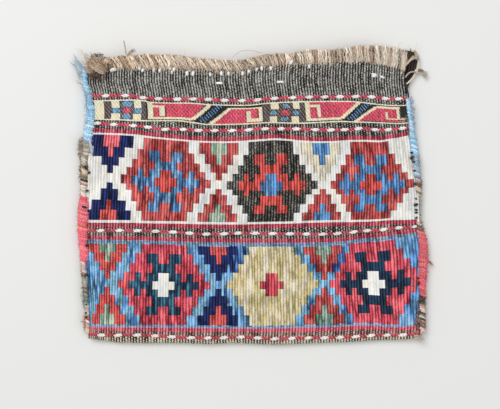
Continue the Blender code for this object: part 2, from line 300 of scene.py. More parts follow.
# How far the ribs stray from even spacing, in ribs: (share of the height, stray of each)
DRIFT_RIBS = (0, 9, 29, 48, 67, 85, 103, 119)
DRIFTS = (
    (0.090, (0, -2.6, -2.4, -1.8, -1.5, -0.8, -0.6, 0)),
    (0.315, (0, -0.2, -0.45, -0.5, -1.2, -0.8, -2.4, 0)),
    (0.435, (0, 0.3, 0.2, 0, -0.4, 0, -1.3, 0)),
    (0.665, (0, 0.5, 0.45, 0.7, 0.1, 0.4, -0.2, 0)),
    (0.820, (0, 0, 0, 0, 0, 0, 0, 0)),
)
# How far a field's steps sag at its middle, as a share of the field: (share of the width, sag)
FIELD_SAGS = {
    "white_field": (
        (0.07, -0.028), (0.18, -0.005), (0.35, -0.010), (0.45, 0.010), (0.57, 0.034),
        (0.70, 0.012), (0.85, 0.034), (0.95, 0.044),
    ),
    "blue_field": (
        (0.07, -0.010), (0.20, 0.012), (0.32, 0.010), (0.42, -0.015), (0.57, -0.008),
        (0.70, -0.020), (0.84, 0.018), (0.95, 0.018),
    ),
}
# Share of the height at which the shapes of each band were measured
BAND_SHARES = {
    "dashes_1": 0.83, "wrapped": 0.775, "dashes_2": 0.73, "dashes_3": 0.38, "dashes_4": 0.03,
}

# Shapes of the stepped fields, in ribs either side of a shape's middle, from the top step down
MEDALLION = (8, 10, 12, 14, 16, 14, 12, 10, 8)
NARROW_MEDALLION = (7, 9, 11, 13, 15, 13, 11, 9, 7)
FIGURE = (
    (), ((2, 6),), ((0, 4),), ((2, 6), (8, 10)), ((4, 12),), ((2, 6), (8, 10)), ((0, 4),),
    ((2, 6),), (),
)
OPEN_FIGURE = FIGURE[:5] + (((8, 10),),) + FIGURE[6:]
BLANK = ((),) * 9
HEART = {3: 2, 4: 4, 5: 2}
NARROW_HEART = {3: 1, 4: 4, 5: 1}
LEFT_TRIANGLE = (8.1, 5.5, 3.2, 1.2)
LOW_LEFT_TRIANGLE = (8, 6, 3, 1)
TRIANGLE = (7, 5, 3, 1)
INNER = (3, 1)

# (middle rib, middle of the figure, half widths, figure's ribs, heart's half widths, dyes of the
# ground, the figure and the heart)
MEDALLIONS = {
    "white_field": (
        (29, 29, MEDALLION, FIGURE, HEART, "madder", "blue", "bright_red"),
        (67, 67, MEDALLION, OPEN_FIGURE, HEART, "black_brown", "bright_red", "bright_blue"),
        (103, 103, NARROW_MEDALLION, FIGURE, NARROW_HEART, "deep_madder", "bright_blue",
         "bright_red"),
    ),
    "blue_field": (
        (29, 29, MEDALLION, FIGURE, HEART, "rose", "teal", "pure_white"),
        (67, 67, MEDALLION, BLANK, HEART, "old_cream", "old_cream", "rose"),
        (102.7, 103, MEDALLION, FIGURE, HEART, "rose", "dark_teal", "pure_white"),
    ),
}
# (middle rib, half widths, dyes of the triangle and of the one inside it) at the top and bottom
TRIANGLES = {
    "white_field": (
        ((8.9, LEFT_TRIANGLE, "navy", "coral"), (9, LOW_LEFT_TRIANGLE, "navy", "brick")),
        ((48, TRIANGLE, "deep_madder", "sage"), (48, TRIANGLE, "deep_madder", "sage")),
        ((85, TRIANGLE, "beige", "bright_blue"), (85, TRIANGLE, "deep_madder", "bright_blue")),
    ),
    "blue_field": (
        ((9, TRIANGLE, "brick", "sage"), (9, TRIANGLE, "brick", "sage")),
        ((48, TRIANGLE, "navy", "brick"), (48, TRIANGLE, "navy", "brick")),
        ((85, TRIANGLE, "deep_madder", "sage"), (85, TRIANGLE, "deep_madder", "sage")),
    ),
}
# Dyes of the blue ground: (rib that each reaches to, dye), and its deeper patches as (first rib,
# last rib, from share, to share)
SKIES = ((46, "sky_left"), (94, "sky_middle"), (RIBS, "sky_right"))
DEEP_BLUE_PATCHES = ((52.5, 58.5, 0.0, 0.36), (87.5, 92.5, 0.13, 0.38))
# Dyes of the wool, as red, green and blue from 0 to 255
DYES = {
    "ivory": (226, 226, 221), "pure_white": (238, 238, 232), "madder": (178, 72, 72),
    "deep_madder": (154, 46, 48), "light_madder": (196, 92, 86), "bright_red": (190, 62, 56),
    "brick": (192, 68, 64), "line_red": (172, 54, 76), "dash_red": (200, 74, 98),
    "dash_dull": (188, 76, 86), "dash_white": (242, 240, 236), "dash_dark": (170, 60, 74),
    "band_red": (204, 64, 90), "band_pink": (212, 98, 120), "brown_line": (120, 66, 52),
    "rose": (196, 58, 78), "light_rose": (218, 92, 104), "deep_rose": (168, 42, 62),
    "coral": (213, 90, 100), "navy": (15, 32, 84), "teal": (18, 56, 84),
    "bright_teal": (52, 104, 126), "dark_teal": (16, 42, 66), "blue": (92, 136, 182),
    "dusk_blue": (52, 92, 136), "bright_blue": (74, 122, 172), "wrap_blue": (62, 88, 122),
    "pale_blue": (130, 180, 214), "mid_blue": (90, 146, 198), "deep_blue": (34, 72, 134),
    "green_blue": (92, 142, 158), "line_blue": (92, 128, 162), "lavender": (148, 144, 172),
    "sage": (136, 164, 148), "dark_sage": (92, 128, 108), "cream": (204, 190, 148),
    "pale_cream": (218, 208, 184), "straw": (184, 170, 112), "wrap_cream": (236, 230, 200),
    "wrap_straw": (212, 200, 156), "wrap_brown": (112, 102, 96), "wrap_mauve": (134, 118, 118),
    "beige": (216, 208, 184), "black_brown": (40, 38, 34), "dark_brown": (46, 40, 36),
    "heading": (52, 50, 47), "bare_warp": (168, 138, 112), "warp": (208, 206, 198),
    "warp_dark": (134, 130, 124), "fringe": (246, 216, 184), "fringe_pale": (250, 240, 224),
    "fringe_dark": (134, 98, 70), "hair_gold": (240, 204, 160), "hair_dark": (62, 46, 36),
    # The darkest dye on the next line, used inside the pocket and on the rim, is painted shade
    "back": (74, 62, 54), "back_pale": (104, 88, 74), "lining": (40, 32, 28),
    "yarn_blue": (168, 220, 250), "yarn_mist": (166, 190, 204), "yarn_red": (222, 95, 107),
    "yarn_coral": (252, 116, 132), "yarn_brown": (132, 100, 84), "yarn_grey": (176, 166, 152),
    "yarn_tan": (188, 160, 130), "yarn_olive": (140, 126, 100), "yarn_pink": (228, 190, 178),
    "yarn_orange": (210, 112, 74), "cord": (244, 230, 208), "thread": (252, 252, 250),
    "knot_dark": (40, 32, 30),
}
# Wool dyed unevenly: the colours it runs through, as (chance, dye)
BATHS = {
    "sky_left": ((0.10, "dusk_blue"), (0.34, "mid_blue"), (0.56, "pale_blue"), (1.0, "green_blue")),
    "sky_middle": ((0.10, "deep_blue"), (0.30, "green_blue"), (0.48, "mid_blue"),
                   (0.80, "pale_blue")),
    "sky_right": ((0.06, "dusk_blue"), (0.26, "mid_blue"), (0.50, "mid_blue"), (0.74, "pale_blue")),
    "sky_deep": ((0.15, "navy"), (0.50, "deep_blue"), (0.95, "mid_blue")),
    "plain_back": ((0.50, "back"), (0.90, "back_pale")),
    "rose": ((0.24, "deep_rose"), (0.48, "rose"), (0.85, "light_rose")),
    "madder": ((0.30, "deep_madder"), (0.52, "madder"), (0.90, "light_madder")),
    "deep_madder": ((0.35, "deep_madder"), (1.0, "light_madder")),
    "teal": ((0.30, "dark_teal"), (0.52, "teal"), (0.80, "bright_teal")),
    "dark_teal": ((0.55, "dark_teal"), (1.0, "teal")),
    "blue": ((0.34, "dusk_blue"), (0.60, "blue"), (1.1, "pale_blue")),
    "bright_blue": ((0.28, "dusk_blue"), (0.50, "bright_blue"), (0.90, "mid_blue")),
    "sage": ((0.28, "dark_sage"), (0.54, "sage"), (1.4, "pale_cream")),
    "old_cream": ((0.20, "pale_cream"), (0.42, "cream"), (0.58, "straw"), (0.68, "straw"),
                  (0.90, "cream")),
}


def block(dye, left, right, top, bottom):
    return dye, ((left, top), (right, top), (right, bottom), (left, bottom))


def bar(dye, bottom_rib, bottom, top_rib, top, width):
    """A slanting bar from its lower end to its upper one."""
    return dye, ((top_rib, top), (top_rib + width, top), (bottom_rib + width, bottom),
                 (bottom_rib, bottom))


def gem(dye, left, right, top, bottom):
    """A block whose corners are cut off."""
    left, right, top, bottom = left + 0.15, right - 0.15, top + 0.015, bottom - 0.015
    across, down = (right - left) * 0.28, (bottom - top) * 0.28
    return dye, ((left + across, top), (right - across, top), (right, top + down),
                 (right, bottom - down), (right - across, bottom), (left + across, bottom),
                 (left, bottom - down), (left, top + down))


# The wrapped band's shapes, later ones over earlier ones: (dye, corners as (rib, share down))
WRAPPED_SHAPES = (
    block("cream", 2.0, 5.8, 0.03, 0.94),
    block("cream", 8.9, 11.8, 0.08, 0.37), gem("blue", 12.6, 16.7, 0.06, 0.37),
    block("cream", 17.1, 19.7, 0.08, 0.37), gem("blue", 8.4, 12.1, 0.37, 0.66),
    gem("band_red", 12.8, 15.8, 0.37, 0.66), gem("blue", 16.9, 19.9, 0.37, 0.66),
    block("cream", 8.4, 11.8, 0.66, 0.97), gem("blue", 12.5, 15.5, 0.66, 0.97),
    block("cream", 16.6, 19.6, 0.66, 0.97),
    ("band_red", ((24.0, 0.07), (43.9, 0.0), (38.3, 0.76), (24.0, 0.80))),
    block("cream", 22.2, 24.0, 0.07, 0.90), block("black_brown", 21.4, 22.2, 0.09, 0.90),
    block("cream", 24.0, 38.3, 0.77, 0.90), block("cream", 24.0, 28.5, 0.16, 0.29),
    block("cream", 26.4, 28.5, 0.24, 0.73), block("brown_line", 24.0, 24.5, 0.30, 0.75),
    block("brown_line", 28.5, 29.1, 0.22, 0.76), block("band_red", 24.6, 26.4, 0.30, 0.76),
    ("black_brown", ((46.2, 0.02), (54.0, 0.02), (42.6, 1.0), (38.6, 1.0))),
    bar("cream", 37.5, 0.85, 44.2, 0.06, 1.7),
    bar("blue_dots", 40.0, 0.91, 47.4, 0.08, 2.8),
    ("black_brown", ((53.0, 0.07), (64.8, 0.07), (64.8, 0.16), (53.0, 0.12))),
    ("band_red", ((53.1, 0.18), (62.9, 0.24), (64.3, 0.97), (45.3, 0.97))),
    bar("cream", 44.0, 0.97, 52.0, 0.16, 1.7), block("cream", 52.6, 64.3, 0.14, 0.22),
    block("cream", 63.0, 64.4, 0.20, 0.88), block("cream", 58.6, 64.1, 0.70, 0.87),
    block("cream", 58.6, 60.1, 0.35, 0.87), block("brown_line", 58.0, 58.6, 0.34, 0.90),
    block("band_red", 60.4, 62.5, 0.26, 0.70), block("brown_line", 62.5, 63.0, 0.26, 0.70),
    block("cream", 67.8, 70.7, 0.03, 0.31), gem("blue", 72.2, 74.8, 0.08, 0.32),
    block("cream", 76.0, 78.3, 0.06, 0.32), gem("blue", 67.3, 69.8, 0.38, 0.64),
    gem("band_red", 71.1, 74.7, 0.38, 0.65), gem("blue", 75.7, 78.1, 0.39, 0.64),
    block("cream", 67.0, 69.6, 0.67, 0.98), gem("blue", 70.9, 73.9, 0.68, 0.90),
    block("cream", 75.2, 77.7, 0.67, 0.97),
    ("band_red", ((82.0, 0.08), (100.3, 0.04), (93.6, 0.77), (82.0, 0.77))),
    block("cream", 80.6, 82.3, 0.08, 0.78), block("cream", 80.6, 93.4, 0.76, 0.87),
    block("cream", 82.3, 86.3, 0.18, 0.30), block("cream", 84.9, 86.3, 0.18, 0.73),
    block("band_red", 82.5, 84.9, 0.31, 0.76),
    ("black_brown", ((101.3, 0.03), (108.0, 0.02), (97.8, 0.96), (93.6, 0.96), (94.5, 0.76))),
    bar("cream", 92.9, 0.82, 99.8, 0.04, 1.6),
    bar("blue_dots", 95.0, 0.90, 102.2, 0.08, 2.8),
    ("band_red", ((107.2, 0.18), (114.4, 0.18), (114.4, 0.90), (99.2, 0.92))),
    bar("cream", 97.8, 0.95, 105.9, 0.18, 1.6), block("cream", 106.9, 115.6, 0.13, 0.21),
    block("cream", 114.2, 115.4, 0.15, 0.80), block("cream", 109.8, 117.2, 0.71, 0.79),
    block("cream", 109.8, 111.0, 0.38, 0.79), block("coral", 110.0, 117.0, 0.81, 0.90),
    block("band_red", 111.2, 114.1, 0.25, 0.70), block("black_brown", 115.9, 118.2, 0.05, 0.69),
)
# Share of the band's height that its pale edging takes at the top and at the bottom
WRAPPED_EDGE = 0.055
# Dyes that take turns along the slanting stitches of the wrapped band
STITCH_DYES = {
    "ground": ("dark_brown", "wrap_brown", "black_brown", "wrap_mauve"),
    "blue_dots": ("pale_blue", "navy", "black_brown", "navy"),
    "blue": ("pale_blue", "green_blue", "pale_blue", "wrap_blue"),
    "cream": ("wrap_cream", "wrap_cream", "wrap_straw", "wrap_cream"),
    "band_red": ("band_red", "band_pink", "band_red", "band_red"),
}

# The weave: distance between two wefts, how near to a whole rib a groove reaches, how uneven the
# ribs are, and how high and how far from the mouth and the fold the front's waves are
WEFT_PITCH = 0.0011
IN_GROOVE = 0.1
RIB_JITTER = 0.0001
WAVE_HEIGHT = 0.0005
WAVE_MARGIN = 0.02
# Material number of the cloth's rim while it is made
RIM = 2
# The cloth's bake map, in shares of its side: its border and full width; the front's top and
# height; width and height of the back and of the inside; the inside's left edge; and the rim's
# strips (lowest edge, distance from one to the next, height)
BAKE_EDGE = 0.004
BAKE_WIDTH = 0.992
BAKE_FRONT = (0.996, 0.628)
BAKE_LOWER = (0.486, 0.328)
BAKE_INSIDE = 0.510
BAKE_STRIPS = (0.340, 0.0040, 0.0026)
# How far the back's ribs reach below the part, and so how far under it the floor lies
RIB_REST = 0.0003

# Warp ends: how many to a rib, first and last place across the mouth, steps of each one's path,
# bundles that they lean into, and fine hairs among them
STRANDS_PER_RIB = 3.3
STRAND_SPAN = (0.006, 0.986)
STRAND_STEPS = 9
BUNDLES = 92
MOUTH_HAIRS = 700
# Yarns laid before they are gathered into the whole, and points and steps of the loose ones
BATCH = 30
YARN_POINTS = 14
TUFT_STEPS = 8
# The cord: points of its line, length of one twist, and its knot's place (as a share of the way
# along), size and steps
CORD_POINTS = 70
CORD_TWIST = 0.0034
CORD_KNOT = 0.70
KNOT_RADIUS = 0.0009
KNOT_STEPS = 18
# Whipped yarn: the turns' angles round the edge, share of its bulge that fine yarn has, and frayed
# hairs to a millimetre
WHIP_ANGLES = (62, 25, -25, -62)
FINE_BULGE = 0.3
HAIRS = {"brown": 10.0, "red": 7.0, "blue": 6.0}
# Dyes that stray into a yarn, and how far: (darker, paler, share)
STRAYS = {
    "brown": ("hair_dark", "fringe_pale", 0.55), "red": ("rose", "yarn_pink", 0.20),
    "blue": ("mid_blue", "dash_white", 0.42),
}

# Yarn that whips each side from the top down: (lowest share of the height, dye)
YARN_RUNS = {
    LEFT: (
        (0.690, "yarn_blue"), (0.600, "yarn_grey"),
        (0.567, "yarn_tan"), (0.562, "yarn_pink"), (0.550, "black_brown"), (0.525, "yarn_pink"),
        (0.503, "fringe_pale"), (0.4067, "yarn_coral"), (0.3934, "yarn_orange"),
        (0.280, "yarn_coral"), (0.243, "yarn_pink"), (0.227, "yarn_brown"),
        (0.167, "yarn_olive"), (0.1335, "sage"), (0.100, "yarn_grey"), (0.087, "yarn_orange"),
        (0.053, "yarn_pink"), (-1.0, "cream"),
    ),
    RIGHT: (
        (0.635, "yarn_blue"), (0.560, "yarn_mist"), (0.527, "yarn_brown"), (0.517, "yarn_pink"),
        (0.502, "yarn_olive"), (0.407, "ivory"), (0.377, "yarn_brown"),
        (0.1635, "yarn_red"), (0.140, "hair_dark"), (0.110, "yarn_pink"), (0.085, "hair_dark"),
        (0.057, "yarn_brown"), (0.036, "yarn_pink"), (-1.0, "pale_cream"),
    ),
}
# How far that yarn reaches in over the front: (share of the height, mm)
YARN_REACHES = {
    LEFT: (
        (0.0, 0.4), (0.27, 0.5), (0.30, 3.4), (0.33, 4.0), (0.38, 4.8), (0.48, 4.8), (0.51, 3.0),
        (0.585, 3.0), (0.612, 1.3), (0.633, 2.6), (0.65, 4.6), (0.70, 5.2), (0.75, 4.6),
        (0.81, 3.8), (0.85, 2.6), (0.93, 0.8),
    ),
    RIGHT: (
        (0.03, 1.5), (0.08, 2.6), (0.11, 2.0), (0.18, 2.2), (0.20, 3.8), (0.29, 3.8), (0.333, 2.3),
        (0.39, 1.5), (0.41, 0.0), (0.50, 0.0), (0.52, 1.0), (0.58, 1.5), (0.60, 0.7), (0.65, 2.4),
        (0.69, 2.4), (0.717, 1.3), (0.767, 0.5), (0.80, 0.0),
    ),
}
# How much further than the rest it bulges out at the side: (share of the height, mm)
YARN_BULGES = {
    LEFT: (
        (0.30, 0.0), (0.36, 0.4), (0.42, 1.1), (0.46, 1.0), (0.50, 0.2), (0.58, 0.3), (0.65, 0.8),
        (0.71, 0.1),
    ),
    RIGHT: (
        (0.20, 0.1), (0.27, 0.6), (0.33, 1.7), (0.365, 1.7), (0.39, 0.4), (0.42, 0.0),
        (0.49, 0.0), (0.53, 0.9), (0.62, 1.0), (0.72, 0.5), (0.80, 0.0),
    ),
}
# Stitches: (x, y, length, angle in degrees, radius), in millimetres, and for those of the sides
# their height over the cloth as well
HEM_LIFT = 0.3
HEM_STITCHES = (
    (-100.4, 90.6, 4.2, 10, 0.75), (-81.2, 91.3, 2.2, 80, 0.5), (-79.0, 89.9, 2.0, 60, 0.5),
    (-71.0, 89.9, 2.4, 90, 0.55), (-66.7, 89.9, 2.4, 80, 0.5), (-58.0, 88.5, 2.0, 90, 0.5),
    (-56.5, 90.6, 2.2, 70, 0.5), (-47.1, 87.7, 2.4, 90, 0.6), (-42.8, 87.7, 2.4, 80, 0.6),
    (-30.5, 87.0, 2.2, 100, 0.5), (-22.5, 87.7, 2.4, 90, 0.55), (-17.4, 87.7, 2.2, 90, 0.5),
    (-7.2, 87.7, 2.4, 80, 0.55), (-2.9, 89.2, 2.2, 90, 0.5), (2.9, 90.6, 2.2, 70, 0.5),
    (6.5, 91.4, 2.4, 90, 0.55), (13.0, 91.4, 2.2, 90, 0.5), (27.6, 95.7, 2.6, 60, 0.6),
    (40.6, 92.8, 2.2, 90, 0.5), (-23.9, 80.8, 4.6, 0, 0.5), (19.9, 81.6, 5.0, 0, 0.5),
    (87.4, 87.2, 3.8, -10, 0.5), (87.4, 86.0, 3.4, 10, 0.5), (93.5, 85.5, 3.2, -15, 0.5),
)
SEAM_STITCHES = (
    (-120.9, 20.3, 2.4, -50, 0.7, 1.2), (-118.5, 16.7, 1.6, 40, 0.5, 0.5),
    (-119.8, 3.6, 1.8, 0, 0.55, 1.0), (-121.8, -8.3, 3.0, -20, 0.6, 1.2),
    (-119.8, -35.9, 2.2, 60, 0.6, 1.2), (-120.4, -57.3, 2.4, -30, 0.5, 0.4),
    (-120.4, -79.0, 1.7, 0, 0.5, 0.4), (-120.4, -84.8, 1.7, 0, 0.5, 0.4),
    (-120.2, -88.1, 1.9, 20, 0.55, 0.4), (115.2, 31.2, 1.6, 0, 0.55, 1.0),
    (115.4, 27.5, 2.4, 40, 0.8, 1.0), (116.8, 24.6, 1.5, 0, 0.5, 0.8),
    (117.2, 18.1, 1.6, 0, 0.5, 0.8), (117.6, 8.7, 1.9, 30, 0.55, 0.8),
    (118.6, -2.2, 1.2, 0, 0.45, 0.3), (118.4, -6.5, 2.2, 20, 0.8, 0.3),
    (118.7, -10.2, 1.6, 0, 0.55, 0.3), (118.8, -12.3, 1.7, 0, 0.55, 0.3),
    (118.8, -15.9, 1.6, 30, 0.5, 0.3), (119.8, -59.8, 1.7, 0, 0.5, 0.8),
    (120.3, -63.4, 2.6, 70, 0.55, 0.8), (121.6, -76.5, 2.0, 0, 0.55, 0.8),
    (120.6, -92.8, 1.8, 0, 0.5, 0.5),
)
# A thick pale strand that comes out of the same corner as the cord, in millimetres
PALE_STRAND = (
    (110.6, 85.6, 4.6), (113.4, 89.0, 4.6), (116.6, 90.2, 4.4), (119.4, 89.6, 3.8),
)
# Frayed fibres by the cord's knot: (steps from it in millimetres, spread, first dye, second dye)
KNOT_TUFTS = (
    (((0.4, -0.2, 0.4), (2.2, 0.4, 0.5), (4.0, 0.0, 0.4), (5.4, -1.0, 0.2)), 0.7, "yarn_tan",
     "fringe_dark"),
    (((3.6, -0.6, 0.4), (5.0, -1.4, 0.4), (6.2, -2.0, 0.2), (7.0, -2.4, 0.0)), 0.9, "warp",
     "fringe_pale"),
)
# Frayed fibres: (route in millimetres, spread, hairs, radius, first dye, second dye)
TUFTS = (
    (((-121.6, 85.0, 5.2), (-124.4, 91.0, 4.6), (-127.0, 95.0, 3.6), (-130.0, 98.8, 2.2)),
     1.9, 90, 0.20, "yarn_blue", "dash_white"),
    (((-122.0, 88.0, 5.0), (-125.6, 92.6, 4.0), (-129.6, 94.6, 2.4)), 1.5, 44, 0.18, "pale_blue",
     "dash_white"),
    (((-127.6, 96.0, 3.0), (-129.2, 100.0, 2.4), (-130.8, 104.0, 1.6)), 0.4, 10, 0.18, "yarn_blue",
     "dash_white"),
    (((-107.6, 88.4, 9.8), (-111.0, 91.4, 10.6), (-115.0, 94.6, 9.8), (-119.6, 98.0, 7.2)),
     2.8, 44, 0.17, "hair_gold", "fringe_pale"),
    (((-106.0, 89.0, 10.0), (-109.4, 94.0, 10.6), (-113.6, 97.4, 9.8), (-117.6, 99.0, 7.8)),
     2.6, 60, 0.17, "hair_gold", "fringe_dark"),
    (((-108.6, 98.0, 9.8), (-111.6, 93.6, 10.6), (-110.6, 90.6, 10.6), (-107.6, 89.0, 10.2)),
     2.2, 50, 0.16, "fringe_pale", "hair_gold"),
    (((-112.0, 85.6, 9.6), (-116.4, 88.4, 9.2), (-120.4, 91.8, 7.4)), 1.1, 60, 0.17,
     "fringe_pale", "yarn_tan"),
    (((-108.6, 83.6, 9.4), (-113.0, 85.2, 9.6), (-117.6, 87.4, 8.6)), 0.8, 26, 0.18,
     "hair_dark", "fringe_dark"),
    (((-104.4, 88.4, 9.8), (-103.6, 92.4, 9.8), (-104.6, 96.4, 9.4)), 0.6, 20, 0.16,
     "hair_dark", "fringe_dark"),
    (((108.6, 90.0, 6.6), (109.4, 97.0, 6.6), (110.4, 106.0, 5.6)), 1.5, 90, 0.20,
     "fringe_pale", "fringe"),
    (((112.6, 96.6, 2.6), (114.0, 101.0, 2.6), (115.6, 106.6, 2.4)), 1.7, 44, 0.17,
     "hair_dark", "fringe_dark"),
    (((118.0, 106.0, 3.0), (119.2, 102.6, 3.4), (121.0, 98.6, 3.6)), 0.9, 40, 0.17,
     "fringe_pale", "yarn_tan"),
    (((112.0, 95.6, 4.6), (115.4, 99.4, 4.0), (119.4, 101.6, 3.4)), 0.7, 30, 0.16,
     "fringe_pale", "fringe"),
    (((120.6, -44.0, 5.6), (126.0, -47.0, 5.0), (132.0, -50.0, 2.6)), 1.0, 30, 0.14, "yarn_red",
     "yarn_pink"),
    (((-90.4, 100.5, 10.0), (-87.0, 103.8, 9.6), (-84.6, 105.2, 8.6)), 0.9, 24, 0.12,
     "yarn_grey", "fringe"),
    (((-120.6, 46.0, 6.2), (-118.0, 39.0, 6.4), (-116.2, 31.0, 6.6), (-115.8, 28.6, 6.4)), 0.5, 60,
     0.26, "yarn_blue", "dash_white"),
)
# Fuzz: (middle in millimetres, reach across and up, hairs, radius, first dye, second dye)
FUZZ = (
    ((-124.3, 83.4, 5.0), (1.6, 2.6), 170, 0.26, "thread", "dash_white"),
    ((-124.3, 88.0, 5.0), (1.5, 2.2), 120, 0.24, "pale_cream", "yarn_blue"),
    ((-113.0, 93.8, 10.8), (5.4, 4.4), 240, 0.16, "hair_gold", "fringe_dark"),
    ((-114.0, 86.2, 10.4), (4.2, 1.8), 90, 0.15, "hair_dark", "fringe_dark"),
    ((-112.0, 100.8, 8.4), (5.2, 0.9), 90, 0.14, "hair_dark", "fringe_dark"),
    ((-124.6, 34.0, 3.4), (1.9, 7.6), 420, 0.13, "yarn_grey", "fringe_dark"),
    ((-123.4, 35.0, 6.2), (2.6, 7.2), 300, 0.13, "fringe_pale", "fringe_dark"),
    ((-122.0, 20.0, 6.0), (2.2, 7.0), 240, 0.13, "yarn_tan", "hair_dark"),
    ((-125.0, 16.0, 3.0), (1.2, 6.0), 120, 0.13, "yarn_grey", "yarn_tan"),
    ((-122.4, -56.0, 5.0), (2.0, 5.0), 160, 0.13, "yarn_pink", "yarn_olive"),
    ((-121.6, -72.0, 5.0), (2.2, 9.0), 260, 0.13, "yarn_olive", "sage"),
    ((-120.6, -92.0, 5.0), (2.2, 7.0), 200, 0.13, "yarn_pink", "yarn_orange"),
    ((118.8, 24.0, 5.6), (2.4, 8.0), 260, 0.12, "dash_white", "yarn_grey"),
    ((115.0, 56.0, 6.0), (2.3, 15.0), 300, 0.13, "dash_white", "mid_blue"),
    ((-119.4, 63.0, 6.6), (2.3, 17.0), 160, 0.14, "dash_white", "yarn_blue"),
    ((120.4, 6.0, 4.6), (2.0, 6.4), 220, 0.13, "fringe_dark", "yarn_grey"),
    ((122.0, -9.0, 3.0), (0.7, 9.6), 60, 0.12, "pure_white", "yarn_grey"),
    ((120.6, -103.0, 6.4), (2.8, 1.6), 90, 0.18, "pale_cream", "fringe_pale"),
    ((120.4, -91.0, 6.0), (2.4, 5.0), 150, 0.14, "hair_dark", "yarn_pink"),
    ((122.0, -78.0, 5.6), (1.8, 4.6), 130, 0.14, "hair_dark", "yarn_tan"),
    ((121.6, -23.0, 4.6), (2.0, 4.0), 150, 0.13, "yarn_brown", "yarn_pink"),
    ((121.8, -84.0, 5.0), (2.2, 7.0), 220, 0.13, "yarn_olive", "yarn_pink"),
    ((125.6, 88.4, 3.0), (1.5, 1.3), 80, 0.13, "warp", "fringe_pale"),
)
# Single yarns: (route in millimetres, radius, dye)
LOOSE_YARNS = (
    (((-119.0, 91.0, 7.8), (-121.2, 96.6, 6.6), (-123.4, 102.0, 5.2), (-125.6, 106.8, 4.0)), 0.95,
     "fringe_pale"),
    (((-91.0, 101.5, 10.2), (-91.6, 106.0, 10.0), (-92.6, 110.0, 8.6), (-93.4, 112.6, 6.6)), 0.5,
     "yarn_grey"),
    (((-14.8, 99.0, 10.8), (-9.0, 103.4, 10.6), (-2.0, 104.6, 10.2), (7.4, 102.0, 10.6)), 0.16,
     "fringe"),
    (((-49.6, 100.0, 10.4), (-49.0, 103.2, 10.0), (-50.0, 105.8, 9.0)), 0.16, "fringe"),
    (((104.6, 106.0, 9.8), (105.8, 109.6, 8.8), (108.8, 110.4, 7.6)), 0.14, "fringe"),
    (((117.6, 104.0, 5.4), (118.8, 108.4, 4.4), (119.8, 112.2, 3.0)), 0.15, "fringe"),
    (((110.6, 83.0, 4.6), (111.8, 79.4, 4.6), (113.0, 74.6, 4.6), (113.2, 70.6, 4.6)), 0.6,
     "black_brown"),
)

# The stage: half the floor's side, light of the surroundings, lamps as (name, place, power), and
# the camera's sensor and its place over the floor
FLOOR_REACH = 1.6
SKY_STRENGTH = 0.55
LAMP_SIZE = 0.9
LAMPS = (("window_lamp", (-0.7, 0.8, 1.3), 16.0), ("fill_lamp", (0.9, -0.5, 1.2), 5.0))
SENSOR_WIDTH = 36.0
CAMERA_PLACE = (-0.0019, -0.0064)

# Linear colours: pale fibres of a yarn, the painted highlight on the ribs' crests, and the warp in
# red lines and at the fold; and what warms or cools a dye
PALE_FIBRE = (0.86, 0.80, 0.74, 1.0)
CREST_SHEEN = (0.82, 0.74, 0.70, 1.0)
PINK_WARP = (0.85, 0.42, 0.48, 1.0)
TAN_WARP = (0.64, 0.56, 0.42, 1.0)
WARM, COOL = (1.02, 0.99, 0.93, 1.0), (0.98, 1.00, 1.06, 1.0)


def metres(points):
    """Points given in millimetres, in metres."""
    return [tuple(value * MM for value in point) for point in points]


def lengths_along(points):
    """Distance from the first of some vectors to each, along the path through them."""
    lengths = [0.0]
    for before, after in zip(points, points[1:]):
        lengths.append(lengths[-1] + (after - before).length)
    return lengths


def clamp(value):
    """The nearest number from 0 to 1."""
    return min(1.0, max(0.0, value))


def smooth_step(value):
    value = clamp(value)
    return value * value * (3.0 - 2.0 * value)


def smooth_line(points, at):
    """Height of the smooth line through the given points, flat beyond its ends."""
    places = [point[0] for point in points]
    heights = [point[1] for point in points]
    if at <= places[0]:
        return heights[0]
    if at >= places[-1]:
        return heights[-1]
    left = bisect_right(places, at) - 1

    def slope(index):
        before = max(0, index - 1)
        after = min(len(points) - 1, index + 1)
        return (heights[after] - heights[before]) / (places[after] - places[before])

    span = places[left + 1] - places[left]
    share = (at - places[left]) / span
    start, end = heights[left], heights[left + 1]
    lean_in, lean_out = slope(left) * span, slope(left + 1) * span
    return (
        (2 * share**3 - 3 * share**2 + 1) * start
        + (share**3 - 2 * share**2 + share) * lean_in
        + (3 * share**2 - 2 * share**3) * end
        + (share**3 - share**2) * lean_out
    )


def height_share(y):
    return y / CLOTH_HEIGHT + 0.5


def height_at(share):
    return (share - 0.5) * CLOTH_HEIGHT


def side_edge(side, y):
    """X of the cloth's edge on one side, at a height y up the pouch."""
    hollow = LEFT_HOLLOW if side == LEFT else RIGHT_HOLLOW
    return side * (CLOTH_WIDTH / 2 - smooth_line(hollow, height_share(y)))


def back_edge(side, y):
    spread = smooth_line(BACK_CORNER_SPREAD, height_share(y)) if side == RIGHT else 0.0
    return side_edge(side, y) + spread


def mouth_line(across):
    return CLOTH_HEIGHT / 2 - smooth_line(MOUTH_HOLLOW, across)


def fold_line(across):
    return -CLOTH_HEIGHT / 2 + smooth_line(FOLD_HOLLOW, across)


def side_distance(across):
    return CLOTH_WIDTH * min(across, 1.0 - across)


def seam_opening(across):
    """0 at the seams, 1 where the pocket is at its full depth."""
    inward = (side_distance(across) - YARN_REACH - PANEL_REST) / POCKET_RISE
    return sin(pi / 2 * clamp(inward))


def pocket_gap(across, y):
    above_fold = y + CLOTH_HEIGHT / 2
    below_mouth = CLOTH_HEIGHT / 2 - y
    depth = FOLD_GAP + (POCKET_DEPTH - FOLD_GAP) * smooth_step(above_fold / FOLD_TAPER)
    at_mouth = 1.0 - smooth_step((below_mouth - UNWOVEN_HEIGHT) / MOUTH_TAPER)
    depth += (MOUTH_DEPTH - POCKET_DEPTH) * at_mouth
    return SEAM_GAP + seam_opening(across) * max(0.0, depth - SEAM_GAP)


